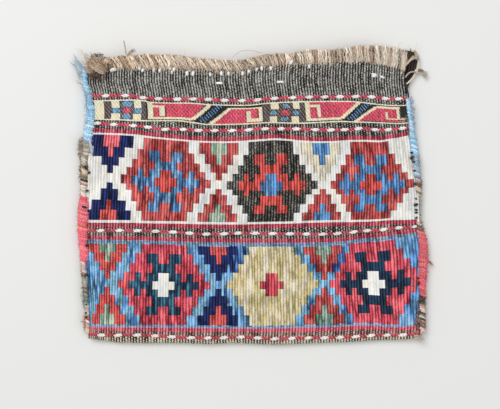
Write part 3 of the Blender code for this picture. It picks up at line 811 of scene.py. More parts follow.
def edge_lift(across, y):
    lift = YARN_WALL + YARN_CLEARANCE
    inward = (side_distance(across) - YARN_REACH - PANEL_REST) / LIFT_RUN
    if across > 0.5:
        lift *= 1.0 - smooth_step((height_share(y) - SEAM_OPEN_SHARE) / SEAM_OPEN_FADE)
    return lift * (1.0 - smooth_step(inward))


def back_height(across, y):
    return CLOTH_THICKNESS / 2 + edge_lift(across, y)


def front_height(across, y):
    return back_height(across, y) + CLOTH_THICKNESS + pocket_gap(across, y)


def panel_span(across):
    """Y at which the panels end, at the fold and at the mouth's turn."""
    low = fold_line(across)
    low = low + (CLOTH_THICKNESS + pocket_gap(across, low)) / 2 + CLOTH_THICKNESS / 2
    high = mouth_line(across) - TURN_RADIUS - BARE_THICKNESS / 2
    return low, high


def lateral(edge, across, y):
    left = edge(LEFT, y)
    return left + (edge(RIGHT, y) - left) * across


def across_at(x, y):
    """Share of the way across the front at a place on it."""
    left, right = side_edge(LEFT, y), side_edge(RIGHT, y)
    return clamp((x - left) / (right - left))


@cache
def drift_levels(rib):
    lines = [(share, tuple(zip(DRIFT_RIBS, strays))) for share, strays in DRIFTS]
    return tuple((share, smooth_line(line, rib)) for share, line in lines)


def rib_drift(rib, y):
    """How far a rib lies from its place by even spacing, in ribs."""
    return smooth_line(drift_levels(rib), height_share(y))


def woven_share(across, y):
    """0 where the warp ends are bare, 1 where the cloth is woven to its full thickness."""
    return smooth_step((mouth_line(across) - y - UNWOVEN_HEIGHT) / UNWOVEN_FADE)


def front_surface(across, y):
    """Height of the front panel's upper face."""
    share = UNWOVEN_SHARE + (1.0 - UNWOVEN_SHARE) * woven_share(across, y)
    return front_height(across, y) + CLOTH_THICKNESS * share / 2


def row_edges(band, count):
    """Share down a band of the lower edge of each of its rows."""
    if band not in FIELD_STEPS:
        return [(row + 1) / count for row in range(count)]
    steps = FIELD_STEPS[band]
    edges = []
    for start, end in zip(steps, steps[1:]):
        edges += [start + (end - start) * part / STEP_ROWS for part in range(STEP_ROWS)]
    return [*edges, steps[-1], 1.0]


def list_rows():
    """(band, step, share down the band) of each row of weft on the front, from the mouth down."""
    rows = []
    for band, count, _, _ in BANDS:
        if band not in FIELD_STEPS:
            rows += [(band, GROUND_STEP, (row + 0.5) / count) for row in range(count)]
            continue
        steps = FIELD_STEPS[band]
        rows.append((band, GROUND_STEP, 0.0))
        for step, (start, end) in enumerate(zip(steps, steps[1:])):
            rows += [(band, step, (start + end) / 2)] * STEP_ROWS
        rows.append((band, GROUND_STEP, 1.0))
    return rows


FRONT_LIST = list_rows()
FRONT_ROWS = len(FRONT_LIST)
FRONT_START = HEM_ROWS + TURN_ROWS
FOLD_START = FRONT_START + FRONT_ROWS
BACK_START = FOLD_START + FOLD_ROWS
ALL_ROWS = BACK_START + BACK_ROWS


def front_heights(across):
    """Y of every row's edge on the front, from the mouth's turn down to the fold."""
    low, high = panel_span(across)
    heights = [high]
    for band, count, line, above in BANDS:
        top = heights[-1]
        bottom = low if line is None else (smooth_line(line, across) + above) * MM
        shares = row_edges(band, count)
        if band in FIELD_SAGS:
            sag = smooth_line(FIELD_SAGS[band], across)
            shares = [share + sag * sin(pi * share) for share in shares]
        bottom = min(bottom, top - LEAST_ROW * len(shares))
        heights += [top + (bottom - top) * share for share in shares]
    shrink = (heights[0] - low) / (heights[0] - heights[-1])
    if shrink < 1.0:
        heights = [heights[0] - (heights[0] - height) * shrink for height in heights]
    return heights


def cloth_point(across, row, heights, gather):
    """Middle of the cloth's thickness at one crossing of the strip's grid."""
    low, high = heights[-1], heights[0]

    def drifted(y):
        return across + rib_drift(across * RIBS, y) / RIBS

    if row < HEM_ROWS:
        y = high - HEM_LENGTH * (1.0 - row / HEM_ROWS)
        return lateral(side_edge, across, y), y, front_height(across, y) - 2 * TURN_RADIUS
    if row < FRONT_START:
        angle = pi * (row - HEM_ROWS) / TURN_ROWS
        y = high + TURN_RADIUS * sin(angle)
        z = front_height(across, high) - TURN_RADIUS * (1.0 + cos(angle))
        return lateral(side_edge, across, y), y, z
    if row <= FOLD_START:
        y = heights[row - FRONT_START]
        place = drifted(y)
        x = lateral(side_edge, place, y)
        room = seam_opening(across) * min(1.0, (high - y) / WAVE_MARGIN, (y - low) / WAVE_MARGIN)
        swell = noise.noise((x * 38, y * 30, 2.0)) + 0.5 * noise.noise((x * 90, y * 60, 7.0))
        wander = noise.noise((x * 60, y * 24, 5.0)) * gather * room
        return x + wander, y, front_height(place, y) + WAVE_HEIGHT * swell * room
    if row < BACK_START:
        angle = pi * (row - FOLD_START) / FOLD_ROWS
        place = drifted(low)
        radius = (front_height(place, low) - back_height(place, low)) / 2
        y = low - radius * sin(angle)
        return (lateral(side_edge, place, low), y,
                back_height(place, low) + radius * (1.0 + cos(angle)))
    y = low + (high - low) * (row - BACK_START) / BACK_ROWS
    place = drifted(y)
    return lateral(back_edge, place, y), y, back_height(place, y)


def medallion_dye(shape, rib, step):
    middle, figure_middle, halves, figure, hearts, ground, mark, heart = shape
    if abs(rib - middle) >= halves[step]:
        return None
    distance = abs(rib - figure_middle)
    if distance < hearts.get(step, 0):
        return heart
    if any(near <= distance < far for near, far in figure[step]):
        return mark
    return ground


def triangle_dye(pair, rib, step):
    if step == 4:
        return None
    middle, halves, outer, inner = pair[0] if step < 4 else pair[1]
    level = step if step < 4 else 8 - step
    if level < len(INNER) and abs(rib - middle) < INNER[level]:
        return inner
    return outer if abs(rib - middle) < halves[level] else None


def pouch_sizes():
    return bpy.context.scene.pouch_sizes


def wool(name):
    """Linear colour of a dye."""
    return Vector(getattr(bpy.context.scene.pouch_dyes, name))


def chance_at(rib, row):
    """A steady random number from 0 to 1 that changes from rib to rib and slowly along each."""
    value = noise.noise((rib * 7.31, row * 0.14, 19.4))
    value += noise.noise((rib * 5.13, row * 0.45, 7.9)) * 0.35
    return clamp(value + 0.5)


def bath_colour(name, rib, row):
    """Colour of a dye; an uneven one runs through its colours at random."""
    if name not in BATHS:
        return wool(name)
    chance = chance_at(rib, row)
    before = BATHS[name][0]
    for stop in BATHS[name]:
        if chance <= stop[0]:
            break
        before = stop
    share = 0.0 if stop[0] == before[0] else (chance - before[0]) / (stop[0] - before[0])
    return wool(before[1]).lerp(wool(stop[1]), clamp(share))


def field_dye(field, rib, step, share):
    if field == "white_field":
        ground = "ivory"
    elif any(a <= rib < b and c <= share < d for a, b, c, d in DEEP_BLUE_PATCHES):
        ground = "sky_deep"
    else:
        ground = next(name for last, name in SKIES if rib < last)
    if step == GROUND_STEP:
        return ground
    for pair in TRIANGLES[field]:
        ground = triangle_dye(pair, rib, step) or ground
    for shape in MEDALLIONS[field]:
        ground = medallion_dye(shape, rib, step) or ground
    return ground


def straight_rib(band, rib):
    """A rib's place by even spacing, which the bands' shapes are given in."""
    return rib + rib_drift(rib, height_at(BAND_SHARES[band]))


def inside(corners, rib, share):
    """Whether a place in the wrapped band lies within a shape's corners."""
    found = False
    for (ax, ay), (bx, by) in zip(corners, corners[1:] + corners[:1]):
        if (ay > share) != (by > share) and rib < ax + (bx - ax) * (share - ay) / (by - ay):
            found = not found
    return found


def wrapped_dye(rib, row, share):
    if share < WRAPPED_EDGE or share > 1.0 - WRAPPED_EDGE:
        return "wrap_cream"
    place = straight_rib("wrapped", rib)
    name = "ground"
    for dye, corners in WRAPPED_SHAPES:
        if inside(corners, place, share):
            name = dye
    if name not in STITCH_DYES:
        return name
    stitch = math.floor(rib * 3) - row
    return STITCH_DYES[name][stitch % 4]


def dash_dye(band, rib, row, share):
    """White and red lozenges that take turns; their outer rows are shorter."""
    trim = DASH_POINT if abs(share - 0.5) > 0.1 else 0.0
    place = straight_rib(band, rib) + (share - 0.5) * 2 * DASH_SLANT
    for start in WHITE_DASHES[band]:
        if start + trim <= place < start + DASH_RIBS - trim:
            return "dash_white"
    turns, red = (3, "dash_dull") if band in ("dashes_3", "dashes_4") else (4, "dash_red")
    return "dash_dark" if (math.floor(rib * 3) - row) % turns == 0 else red


def dye_of(rib, row):
    """(dye, how much pale warp shows on the crests) at a place on the front."""
    band, step, share = FRONT_LIST[row]
    if band in FIELD_STEPS:
        dye = field_dye(band, math.floor(rib) + 0.5, step, share)
        return dye, 0.55 if dye == "black_brown" else 0.0
    if band.startswith("dashes"):
        return dash_dye(band, rib, row, share), 0.0
    if band == "wrapped":
        return wrapped_dye(rib, row, share), 0.0
    return PLAIN_BANDS[band]


class Wire:
    """A number on its way between shader nodes; arithmetic on it adds Math nodes."""

    def __init__(self, tree, socket):
        self.tree = tree
        self.socket = socket

    def math(self, operation, *values):
        node = self.tree.nodes.new("ShaderNodeMath")
        node.operation = operation
        for place, value in enumerate(values):
            if isinstance(value, Wire):
                self.tree.links.new(value.socket, node.inputs[place])
            else:
                node.inputs[place].default_value = value
        return Wire(self.tree, node.outputs[0])

    def __add__(self, other):
        return self.math("ADD", self, other)

    def __sub__(self, other):
        return self.math("SUBTRACT", self, other)

    def __mul__(self, other):
        return self.math("MULTIPLY", self, other)

    def __rsub__(self, other):
        return self.math("SUBTRACT", other, self)

    __radd__ = __add__
    __rmul__ = __mul__

    def wave(self):
        """0 at whole numbers and 1 halfway between them, along a cosine."""
        return 0.5 - 0.5 * self.math("COSINE", self * (2 * pi))

    def between(self, low, high):
        """0 below low, 1 above high and a smooth rise between."""
        node = self.tree.nodes.new("ShaderNodeMapRange")
        node.interpolation_type = "SMOOTHSTEP"
        node.inputs["From Min"].default_value = low
        node.inputs["From Max"].default_value = high
        self.tree.links.new(self.socket, node.inputs["Value"])
        return Wire(self.tree, node.outputs["Result"])


class Finish:
    """A material whose nodes are added by plain calls."""

    def __init__(self, name, roughness, sheen=0.0):
        self.material = bpy.data.materials.new(name)
        self.material.use_nodes = True
        self.tree = self.material.node_tree
        self.shader = self.tree.nodes["Principled BSDF"]
        self.shader.inputs["Roughness"].default_value = roughness
        self.shader.inputs["Specular IOR Level"].default_value = 0.15
        self.shader.inputs["Sheen Weight"].default_value = sheen
        self.shader.inputs["Sheen Roughness"].default_value = 0.6

    def node(self, kind, output=0, settings=None, **values):
        """Adds a node, its settings first, then its sockets' values or links."""
        node = self.tree.nodes.new(kind)
        for name, value in (settings or {}).items():
            setattr(node, name, value)
        for name, value in values.items():
            key = int(name[1:]) if name[0] == "s" and name[1:].isdigit() else name.replace("_", " ")
            socket = node.inputs[key]
            if isinstance(value, Wire):
                self.tree.links.new(value.socket, socket)
            else:
                socket.default_value = value
        return Wire(self.tree, node.outputs[output])

    def mix(self, share, first, second, blend="MIX"):
        """A colour between two others."""
        settings = {"data_type": "RGBA", "blend_type": blend}
        return self.node("ShaderNodeMix", 2, settings, s0=share, s6=first, s7=second)

    def scale(self, colour, amount):
        return self.node("ShaderNodeVectorMath", 0, {"operation": "SCALE"}, s0=colour, Scale=amount)

    def attribute(self, name):
        return self.node("ShaderNodeAttribute", "Color", {"attribute_name": name})

    def parts(self, colour):
        """The three numbers of a colour or a place."""
        node = self.tree.nodes.new("ShaderNodeSeparateXYZ")
        self.tree.links.new(colour.socket, node.inputs[0])
        return [Wire(self.tree, output) for output in node.outputs]

    def place(self, x, y, z=0.0):
        return self.node("ShaderNodeCombineXYZ", X=x, Y=y, Z=z)

    def cloud(self, place, scale, detail):
        """Soft noise, about 0.5 on average."""
        return self.node("ShaderNodeTexNoise", Vector=place, Scale=scale, Detail=detail)

    def done(self, colour, height, distance):
        """Links the colour and a bump of the given height and distance."""
        bump = self.node("ShaderNodeBump", Height=height, Distance=distance, Strength=0.8)
        self.tree.links.new(colour.socket, self.shader.inputs["Base Color"])
        self.tree.links.new(bump.socket, self.shader.inputs["Normal"])
        return self.material


def linear(value):
    """A colour value from 0 to 255, as Blender's linear one."""
    share = value / 255
    return share / 12.92 if share <= 0.04045 else ((share + 0.055) / 1.055) ** 2.4


def colour_property(name, description, colour):
    return bpy.props.FloatVectorProperty(
        name=name.replace("_", " ").capitalize(), description=description, subtype="COLOR",
        size=3, min=0.0, max=1.0, default=[linear(value) for value in colour])


def length(label, description, value):
    return bpy.props.FloatProperty(
        name=label, description=description, default=value, min=0.0, subtype="DISTANCE",
        unit="LENGTH")


class PouchSizes(bpy.types.PropertyGroup):
    """Sizes of the weave and the yarn."""

    rib_crest: length("Rib crest", "How far a rib stands out of the cloth's face", 0.00018)
    rib_valley: length("Rib valley", "How deep the groove between two ribs is", 0.00040)
    slit_depth: length("Slit depth", "How deep the slit between two colours is", 0.00080)
    dash_rise: length("Dash rise", "How far the twined dashes stand out", 0.00045)
    rib_wander: length("Rib wander", "How far the ribs stray from straight lines", 0.00040)
    whip_pitch: length("Whip pitch", "Distance between the turns of yarn along a side", 0.0015)
    strand_width: length("Strand width", "Width of one bare warp end", 0.0011)
    cord_width: length("Cord width", "Diameter of the loose cord", 0.0013)


class PouchDyes(bpy.types.PropertyGroup):
    """Colours of the wool."""


for dye_name, dye_colour in DYES.items():
    PouchDyes.__annotations__[dye_name] = colour_property(dye_name, "Dye of the wool", dye_colour)


class PouchStage(bpy.types.PropertyGroup):
    """Camera and surroundings."""

    lens: bpy.props.FloatProperty(
        name="Lens", description="Focal length of the camera", default=50.0, min=1.0, unit="CAMERA")
    camera_height: length("Camera height", "Height of the camera over the floor", 0.5095)
    floor: colour_property("floor", "Colour of the floor", (226, 226, 224))


def new_object(shape, name, material):
    """Turns a bmesh into an object of the scene."""
    mesh = bpy.data.meshes.new(name)
    shape.to_mesh(mesh)
    shape.free()
    mesh.shade_smooth()
    mesh.materials.clear()
    mesh.materials.append(material)
    thing = bpy.data.objects.new(name, mesh)
    bpy.context.scene.collection.objects.link(thing)
    return thing


def place_mesh(shape, name, material):
    """Turns a bmesh into a finished piece that rides on the pouch."""
    piece = new_object(shape, name, material)
    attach(piece, "root")
    return piece


def path_frames(points, hint):
    """(wide, tall) directions square to the path at each of its points."""
    frames = []
    for index in range(len(points)):
        before, after = points[max(0, index - 1)], points[min(len(points) - 1, index + 1)]
        ahead = (after - before).normalized()
        wide = Vector(hint) - ahead * Vector(hint).dot(ahead)
        if wide.length < 1e-4:
            wide = ahead.orthogonal()
        wide.normalize()
        frames.append((wide, ahead.cross(wide)))
    return frames


class Skein:
    """Yarns laid in small batches, because a bmesh operator slows down as its mesh grows."""

    def __init__(self):
        self.whole = bmesh.new()
        self.batch = bmesh.new()
        self.count = 0

    def gather(self):
        mesh = bpy.data.meshes.new("batch")
        self.batch.to_mesh(mesh)
        self.batch.free()
        self.whole.from_mesh(mesh)
        bpy.data.meshes.remove(mesh)
        self.batch = bmesh.new()

    def lay(self, path, radii, colour, sides, tint, flat=1.0, hint=(0, 0, 1)):
        """A closed tube along a path: a grid rolled round it and drawn to a point at its ends.

        hint is the direction in which flat stretches its section.
        """
        shape = self.batch
        layers = shape.loops.layers
        dyes = layers.float_color.get("dye") or layers.float_color.new("dye")
        tints = layers.float_color.get("tint") or layers.float_color.new("tint")
        lays = layers.uv.get("Yarn") or layers.uv.new("Yarn")
        points = [Vector(point) for point in path]
        count = len(points)
        grid = bmesh.ops.create_grid(shape, x_segments=count - 1, y_segments=sides, size=0.5)
        spans = lengths_along(points)
        frames = path_frames(points, hint)
        crossing = {}
        for vertex in grid["verts"]:
            along = round((vertex.co.x + 0.5) * (count - 1))
            around = round((vertex.co.y + 0.5) * sides)
            crossing[vertex] = (along, around)
            angle = 2 * pi * (around % sides + 0.5) / sides
            radius = 0.0 if along in (0, count - 1) else radii[along]
            wide, tall = frames[along]
            offset = wide * (radius * flat * cos(angle)) + tall * (radius * sin(angle))
            vertex.co = points[along] + offset
        for face in {face for vertex in grid["verts"] for face in vertex.link_faces}:
            for loop in face.loops:
                along, around = crossing[loop.vert]
                loop[lays].uv = (around / sides, spans[along] / MM)
                loop[tints] = (tint, along / (count - 1), 0.0, 1.0)
                loop[dyes] = (*colour, 1.0)
        self.count += 1
        if self.count % BATCH == 0:
            self.gather()

    def done(self):
        """The bmesh of all the yarns, each a closed skin."""
        self.gather()
        self.batch.free()
        bmesh.ops.remove_doubles(self.whole, verts=self.whole.verts, dist=1e-7)
        bmesh.ops.recalc_face_normals(self.whole, faces=self.whole.faces)
        return self.whole


def curve_through(points, count):
    """Evenly spaced places on one smooth curve through the points."""
    distances = [0.0]
    for before, after in zip(points, points[1:]):
        distances.append(distances[-1] + math.dist(before, after))
    axes = [list(zip(distances, values)) for values in zip(*points)]
    places = [distances[-1] * index / (count - 1) for index in range(count)]
    return [tuple(smooth_line(axis, place) for axis in axes) for place in places]


def tapered(count, radius, start, end):
    """Radii that swell from one end of a yarn to its middle and thin out to the other."""
    radii = []
    for index in range(count):
        share = index / (count - 1)
        radii.append(radius * min(1.0, start + share * 6, end + (1 - share) * 6))
    return radii


def any_tint(chance, middle=0.5, spread=0.2):
    return clamp(chance.gauss(middle, spread))


def yarn_finish(name, contrast, plies=1.0, twist=0.55):
    """Spun wool: twisted plies with painted shade between them, a tint for each strand, and stray
    lighter and darker fibres.
    """
    finish = Finish(name, roughness=0.88, sheen=0.10)
    around, along, _ = finish.parts(finish.node("ShaderNodeUVMap", 0, {"uv_map": "Yarn"}))
    dyed = finish.attribute("dye")
    tint, _, _ = finish.parts(finish.attribute("tint"))
    ply = (around * plies + along * twist).wave()
    fibre = finish.cloud(finish.place(around * 5, along * 0.8, tint * 40), 1.6, 3.0)
    shade = 1.0 + contrast * (tint - 0.5) * 2 + 0.5 * (fibre - 0.5) * 2
    # Painted shade: darker in the grooves between the twisted plies
    shade = shade * (0.72 + 0.36 * ply)
    pale = finish.mix(0.75, dyed, PALE_FIBRE)
    base = finish.mix(fibre.between(0.52, 0.75) * 0.38, dyed, pale)
    return finish.done(finish.scale(base, shade), ply * 0.7 + fibre * 0.6, 0.0003)


def weave_finish():
    """Weft-faced wool: painted shade and highlights on the ribs, pale warp between dark wefts, and
    wrapped yarn.
    """
    finish = Finish("patterned_wool", roughness=0.9, sheen=0.05)
    rib, weft, _ = finish.parts(finish.node("ShaderNodeUVMap", 0, {"uv_map": "Weave"}))
    dyed = finish.attribute("dye")
    warp_share, wrap, slit = finish.parts(finish.attribute("weave"))
    red, green, blue = finish.parts(dyed)
    paleness = red * 0.25 + green * 0.60 + blue * 0.15
    crest = rib.wave()
    number = rib.math("FLOOR", rib)
    bead = (weft + 0.5 * number).wave()
    streak = finish.cloud(finish.place(number * 3.7, weft * 0.09), 1.0, 3.0)
    blotch = finish.cloud(finish.place(rib * 0.10, weft * 0.045, 3.0), 1.0, 3.0)
    fibre = finish.cloud(finish.place(rib * 2.4, weft * 0.75, 9.0), 1.0, 4.0)
    hue = finish.cloud(finish.place(number * 5.9, weft * 0.05, 31.0), 1.0, 2.0).between(0.36, 0.64)
    bare = 1.0 - wrap
    slant = (rib * 0.75 - weft * 0.346).wave()
    counter = (rib * 0.75 + weft * 0.346).wave()
    hatch = slant * 0.72 + counter * 0.28
    # Painted light on the ribs: darker in the grooves and between weft beads, lighter on the
    # crests, with random streaks of tone
    ribbed = crest * 0.85 + (streak - 0.5) * 3.6 + (fibre - 0.5) * 1.7 + bead * 0.16 - 0.03
    # Painted light on the wrapped band: darker between its slanting stitches, lighter on them, with
    # random tone
    wrapped = hatch * 0.62 + (fibre - 0.5) * 1.5 + (streak - 0.5) * 1.0 + 0.16
    light = (ribbed * bare + wrapped * wrap).between(-0.10, 1.10)
    # Painted shade at its darkest and painted highlight at its brightest; pale dyes get less of
    # both
    low = (0.22 + 0.70 * paleness) * (1.0 - 0.15 * wrap)
    high = 1.66 - 0.66 * paleness
    shade = (low + (high - low) * light) * (1.0 + 0.22 * (blotch - 0.5) * 2)
    # Painted shade: the colour darkens in the groove of a slit between two colours
    shade = shade * (1.0 - 0.60 * slit * (1.0 - crest))
    warmed = finish.mix(1.0, dyed, WARM, "MULTIPLY")
    cooled = finish.mix(1.0, dyed, COOL, "MULTIPLY")
    dyed = finish.mix(hue, warmed, cooled)
    colour = finish.scale(dyed, shade)
    # Painted highlight: the crests are mixed towards a pale sheen colour where they are lit
    pale = light * crest * (0.02 + 0.18 * paleness + 0.12 * red)
    colour = finish.mix(pale, colour, CREST_SHEEN)
    show = crest * 0.62 + (streak - 0.5) * 1.5 + (fibre - 0.5) * 1.3 + bead * 0.42 - 0.16
    show = (show * warp_share).between(0.20, 0.82)
    pale_warp = finish.mix(fibre.between(0.3, 0.7), (*wool("warp_dark"), 1.0), (*wool("warp"), 1.0))
    red_warp = finish.mix(warp_share.between(0.55, 0.36), pale_warp, PINK_WARP)
    shown = finish.mix(warp_share.between(1.0, 1.3), red_warp, TAN_WARP)
    colour = finish.mix(show, colour, shown)
    height = crest * 0.35 + bead * 0.22 * bare + hatch * 0.55 * wrap + fibre * 0.45
    return finish.done(colour, height, 0.0004)


class Strip:
    """The cloth's body, whose corners know their rib and row, and its shell that faces out."""

    def __init__(self, mesh):
        self.shape = bmesh.new()
        self.shape.from_mesh(mesh)
        self.rib = self.shape.verts.layers.float["rib"]
        self.row = self.shape.verts.layers.float["row"]
        self.outer = self.find_outer()

    def place(self, face):
        return face_place(face, self.rib, self.row)

    def find_outer(self):
        """Material of the shell that looks up in the middle of the front."""
        for face in self.shape.faces:
            rib, row = self.place(face)
            middle = abs(rib - RIBS / 2) < 2 and abs(row - FRONT_START - FRONT_ROWS / 2) < 2
            if middle and face.material_index < RIM and face.normal.z > 0.5:
                return face.material_index
        raise RuntimeError("the cloth has no face that looks up")

    def skin(self):
        """Corners of the shell that faces out."""
        return {corner for face in self.shape.faces if face.material_index == self.outer
                for corner in face.verts}


def weave_grid():
    """The cloth without thickness: a grid, one rib wide and one row high in each face."""
    shape = bmesh.new()
    bmesh.ops.create_grid(shape, x_segments=RIBS, y_segments=ALL_ROWS, size=0.5)
    rib_layer = shape.verts.layers.float.new("rib")
    row_layer = shape.verts.layers.float.new("row")
    thickness = shape.verts.layers.deform.verify()
    columns = [front_heights(column / RIBS) for column in range(RIBS + 1)]
    wander = pouch_sizes().rib_wander
    for vertex in shape.verts:
        column = round((vertex.co.x + 0.5) * RIBS)
        row = round((vertex.co.y + 0.5) * ALL_ROWS)
        across = column / RIBS
        vertex[rib_layer], vertex[row_layer] = column, row
        vertex.co = cloth_point(across, row, columns[column], wander)
        woven = 0.0
        if row >= FRONT_START:
            woven = woven_share(across, vertex.co.y) if row <= FOLD_START else 1.0
        vertex[thickness][0] = woven

    def in_side_hem(face):
        rib, row = face_place(face, rib_layer, row_layer)
        return row < FRONT_START and side_distance(rib / RIBS) < HEM_INSET

    bare = [face for face in shape.faces if in_side_hem(face)]
    bmesh.ops.delete(shape, geom=bare, context="FACES")
    bmesh.ops.recalc_face_normals(shape, faces=shape.faces)
    mesh = bpy.data.meshes.new("cloth_base")
    shape.to_mesh(mesh)
    shape.free()
    return mesh


def thickened(mesh):
    """The grid as a closed body; its two shells and its rim have materials 0, 1 and 2."""
    for _ in range(RIM + 1):
        mesh.materials.append(None)
    base = bpy.data.objects.new("cloth_base", mesh)
    base.vertex_groups.new(name="woven")
    bpy.context.scene.collection.objects.link(base)
    body = base.modifiers.new("cloth body", "SOLIDIFY")
    body.thickness = CLOTH_THICKNESS
    body.offset = 0.0
    body.vertex_group = "woven"
    body.thickness_vertex_group = UNWOVEN_SHARE
    body.material_offset = 1
    body.material_offset_rim = RIM
    solid = bpy.data.meshes.new_from_object(
        base.evaluated_get(bpy.context.evaluated_depsgraph_get()))
    bpy.data.objects.remove(base, do_unlink=True)
    bpy.data.meshes.remove(mesh)
    return solid


def make_cloth():
    mesh = thickened(weave_grid())
    strip = Strip(mesh)
    bpy.data.meshes.remove(mesh)
    cut_ribs(strip)
    lay_bake_map(strip)
    raise_ribs(strip)
    dye_faces(strip)
    cloth = place_mesh(strip.shape, "pouch_cloth", weave_finish())
    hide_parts("bag_cloth")


def face_place(face, rib_layer, row_layer):
    """Mean rib and row of a face's corners."""
    count = len(face.verts)
    return (sum(corner[rib_layer] for corner in face.verts) / count,
            sum(corner[row_layer] for corner in face.verts) / count)


def cut_ribs(strip):
    """Cuts each rib of the outer shell lengthwise, so that it can be rounded."""

    def crosses(edge):
        first, second = edge.verts
        return abs(first[strip.rib] - second[strip.rib]) > 0.5 and any(
            face.material_index == strip.outer and strip.place(face)[1] >= FRONT_START
            for face in edge.link_faces)

    across = [edge for edge in strip.shape.edges if crosses(edge)]
    bmesh.ops.subdivide_edges(strip.shape, edges=across, cuts=RIB_CUTS)


def strip_lengths():
    """Distance along the strip of cloth at each row, in the middle of its width."""
    heights = front_heights(0.5)
    return lengths_along(
        [Vector(cloth_point(0.5, row, heights, 0.0)) for row in range(ALL_ROWS + 1)])


def rim_strip(ribs, rows):
    """Number of the strip of the bake map that a face of the rim goes to."""
    if max(rows) == 0:
        return 0
    if min(rows) == ALL_ROWS:
        return 1
    if max(ribs) < 0.01:
        return 2
    if min(ribs) > RIBS - 0.01:
        return 3
    return 4 if max(rows) - min(rows) > 0.5 else 5


def lay_bake_map(strip):
    """The cloth's own map for baked textures: the front above, the back and the inside below."""
    bake = strip.shape.loops.layers.uv.new("OFBake")
    lengths = strip_lengths()
    to_back, whole = lengths[BACK_START], lengths[-1]
    front_top, front_size = BAKE_FRONT
    lower_width, lower_height = BAKE_LOWER
    lowest, step, strip_height = BAKE_STRIPS
    skin = strip.skin()
    for face in strip.shape.faces:
        _, row = strip.place(face)
        ribs = [corner[strip.rib] for corner in face.verts]
        rows = [corner[strip.row] for corner in face.verts]
        on_skin = face.material_index == strip.outer
        for loop in face.loops:
            rib = loop.vert[strip.rib] / RIBS
            distance = lengths[round(loop.vert[strip.row])]
            along = distance / whole
            if face.material_index == RIM:
                number = rim_strip(ribs, rows)
                lengthwise = along if number in (2, 3) else rib
                if number == 4:
                    lengthwise = along + (0.5 if rib > 0.5 else 0.0)
                edge = strip_height if loop.vert in skin else 0.0
                place = (BAKE_EDGE + BAKE_WIDTH * lengthwise, lowest + step * number + edge)
            elif on_skin and row < BACK_START:
                down = front_size * (distance / to_back)
                place = (BAKE_EDGE + BAKE_WIDTH * rib, front_top - down)
            elif on_skin:
                share = (distance - to_back) / (whole - to_back)
                place = (BAKE_EDGE + lower_width * rib, BAKE_EDGE + lower_height * share)
            else:
                place = (BAKE_INSIDE + lower_width * rib, BAKE_EDGE + lower_height * along)
            loop[bake].uv = place


def row_relief(band):
    """(height of the crests, depth of the grooves) in one band."""
    group = pouch_sizes()
    crest, valley = group.rib_crest, -group.rib_valley
    if band == "wrapped":
        return crest * 1.4, valley * 0.1
    if band.startswith("dashes"):
        return group.dash_rise, group.dash_rise * 0.6
    if band == "warp":
        return valley * 0.8, valley * 1.2
    if band in ("heading", "dark_line"):
        return crest * 0.9, valley * 1.1
    if band == "fold_line":
        return crest * 1.6, valley * 1.3
    return crest, valley


def raise_ribs(strip):
    """Rounds the ribs, opens the slits between colours and lifts the dashes."""
    strip.shape.normal_update()
    slit_depth = pouch_sizes().slit_depth
    reliefs = [row_relief(band) for band, _, _ in FRONT_LIST]
    plain = row_relief("plain_back")
    slits = find_slits()
    moves = {}
    for vertex in strip.skin():
        rib, row = vertex[strip.rib], vertex[strip.row]
        if row < FRONT_START or rib < 0.01 or rib > RIBS - 0.01:
            continue
        in_valley = abs(rib - round(rib)) < IN_GROOVE
        crest, valley = plain
        if row <= FOLD_START:
            index = round(row) - FRONT_START
            near = {max(0, index - 1), min(FRONT_ROWS - 1, index)}
            crest = min(reliefs[place][0] for place in near)
            valley = min(reliefs[place][1] for place in near)
            if in_valley and all((place, round(rib)) in slits for place in near):
                valley = -slit_depth
        jitter = noise.noise((rib * 1.7, row * 0.35, 4.0)) * RIB_JITTER
        moves[vertex] = vertex.normal * ((valley if in_valley else crest) + jitter)
    for vertex, move in moves.items():
        vertex.co += move


def find_slits():
    """(row, rib) of each upright boundary between two colours in the stepped fields."""
    slits = set()
    for row, (band, _, _) in enumerate(FRONT_LIST):
        if band in FIELD_STEPS:
            names = [dye_of(rib + 0.5, row)[0].split("_")[0] for rib in range(RIBS)]
            slits.update((row, rib) for rib in range(1, RIBS) if names[rib] != names[rib - 1])
    return slits


def dye_faces(strip):
    """Gives each corner its dye, its kind of weave and its place in the weave."""
    layers = strip.shape.loops.layers
    dye_layer = layers.float_color.new("dye")
    weave_layer = layers.float_color.new("weave")
    place_layer = layers.uv.new("Weave")
    slits = find_slits()
    lengths = strip_lengths()
    for face in strip.shape.faces:
        rib, row = strip.place(face)
        on_front = FRONT_START <= row <= FOLD_START and face.material_index == strip.outer
        wrap = 0.0
        if on_front:
            index = min(FRONT_ROWS - 1, int(row - FRONT_START))
            name, show = dye_of(rib, index)
            band = FRONT_LIST[index][0]
            wrap = 1.0 if band == "wrapped" or band.startswith("dashes") else 0.0
        elif row < FRONT_START:
            name, show = "bare_warp", 0.6
        # Inside the pocket and on the rim: a dark dye as painted shade, darker than the back's wool
        elif face.material_index != strip.outer:
            name, show = "lining", 0.15
        elif row < BACK_START:
            name, show = "dark_brown", 1.4
        else:
            name, show = "plain_back", 0.4
        for loop in face.loops:
            place, row_edge = loop.vert[strip.rib], loop.vert[strip.row]
            # Marks the groove of a slit between two colours, where the wool's colour gets painted
            # shade
            groove = on_front and abs(place - round(place)) < IN_GROOVE
            slit = 1.0 if groove and (index, round(place)) in slits else 0.0
            colour = bath_colour(name, math.floor(rib) + 0.5, row_edge)
            loop[dye_layer] = (*colour, 1.0)
            loop[weave_layer] = (show, wrap, slit, 1.0)
            loop[place_layer].uv = (place, lengths[round(row_edge)] / WEFT_PITCH)


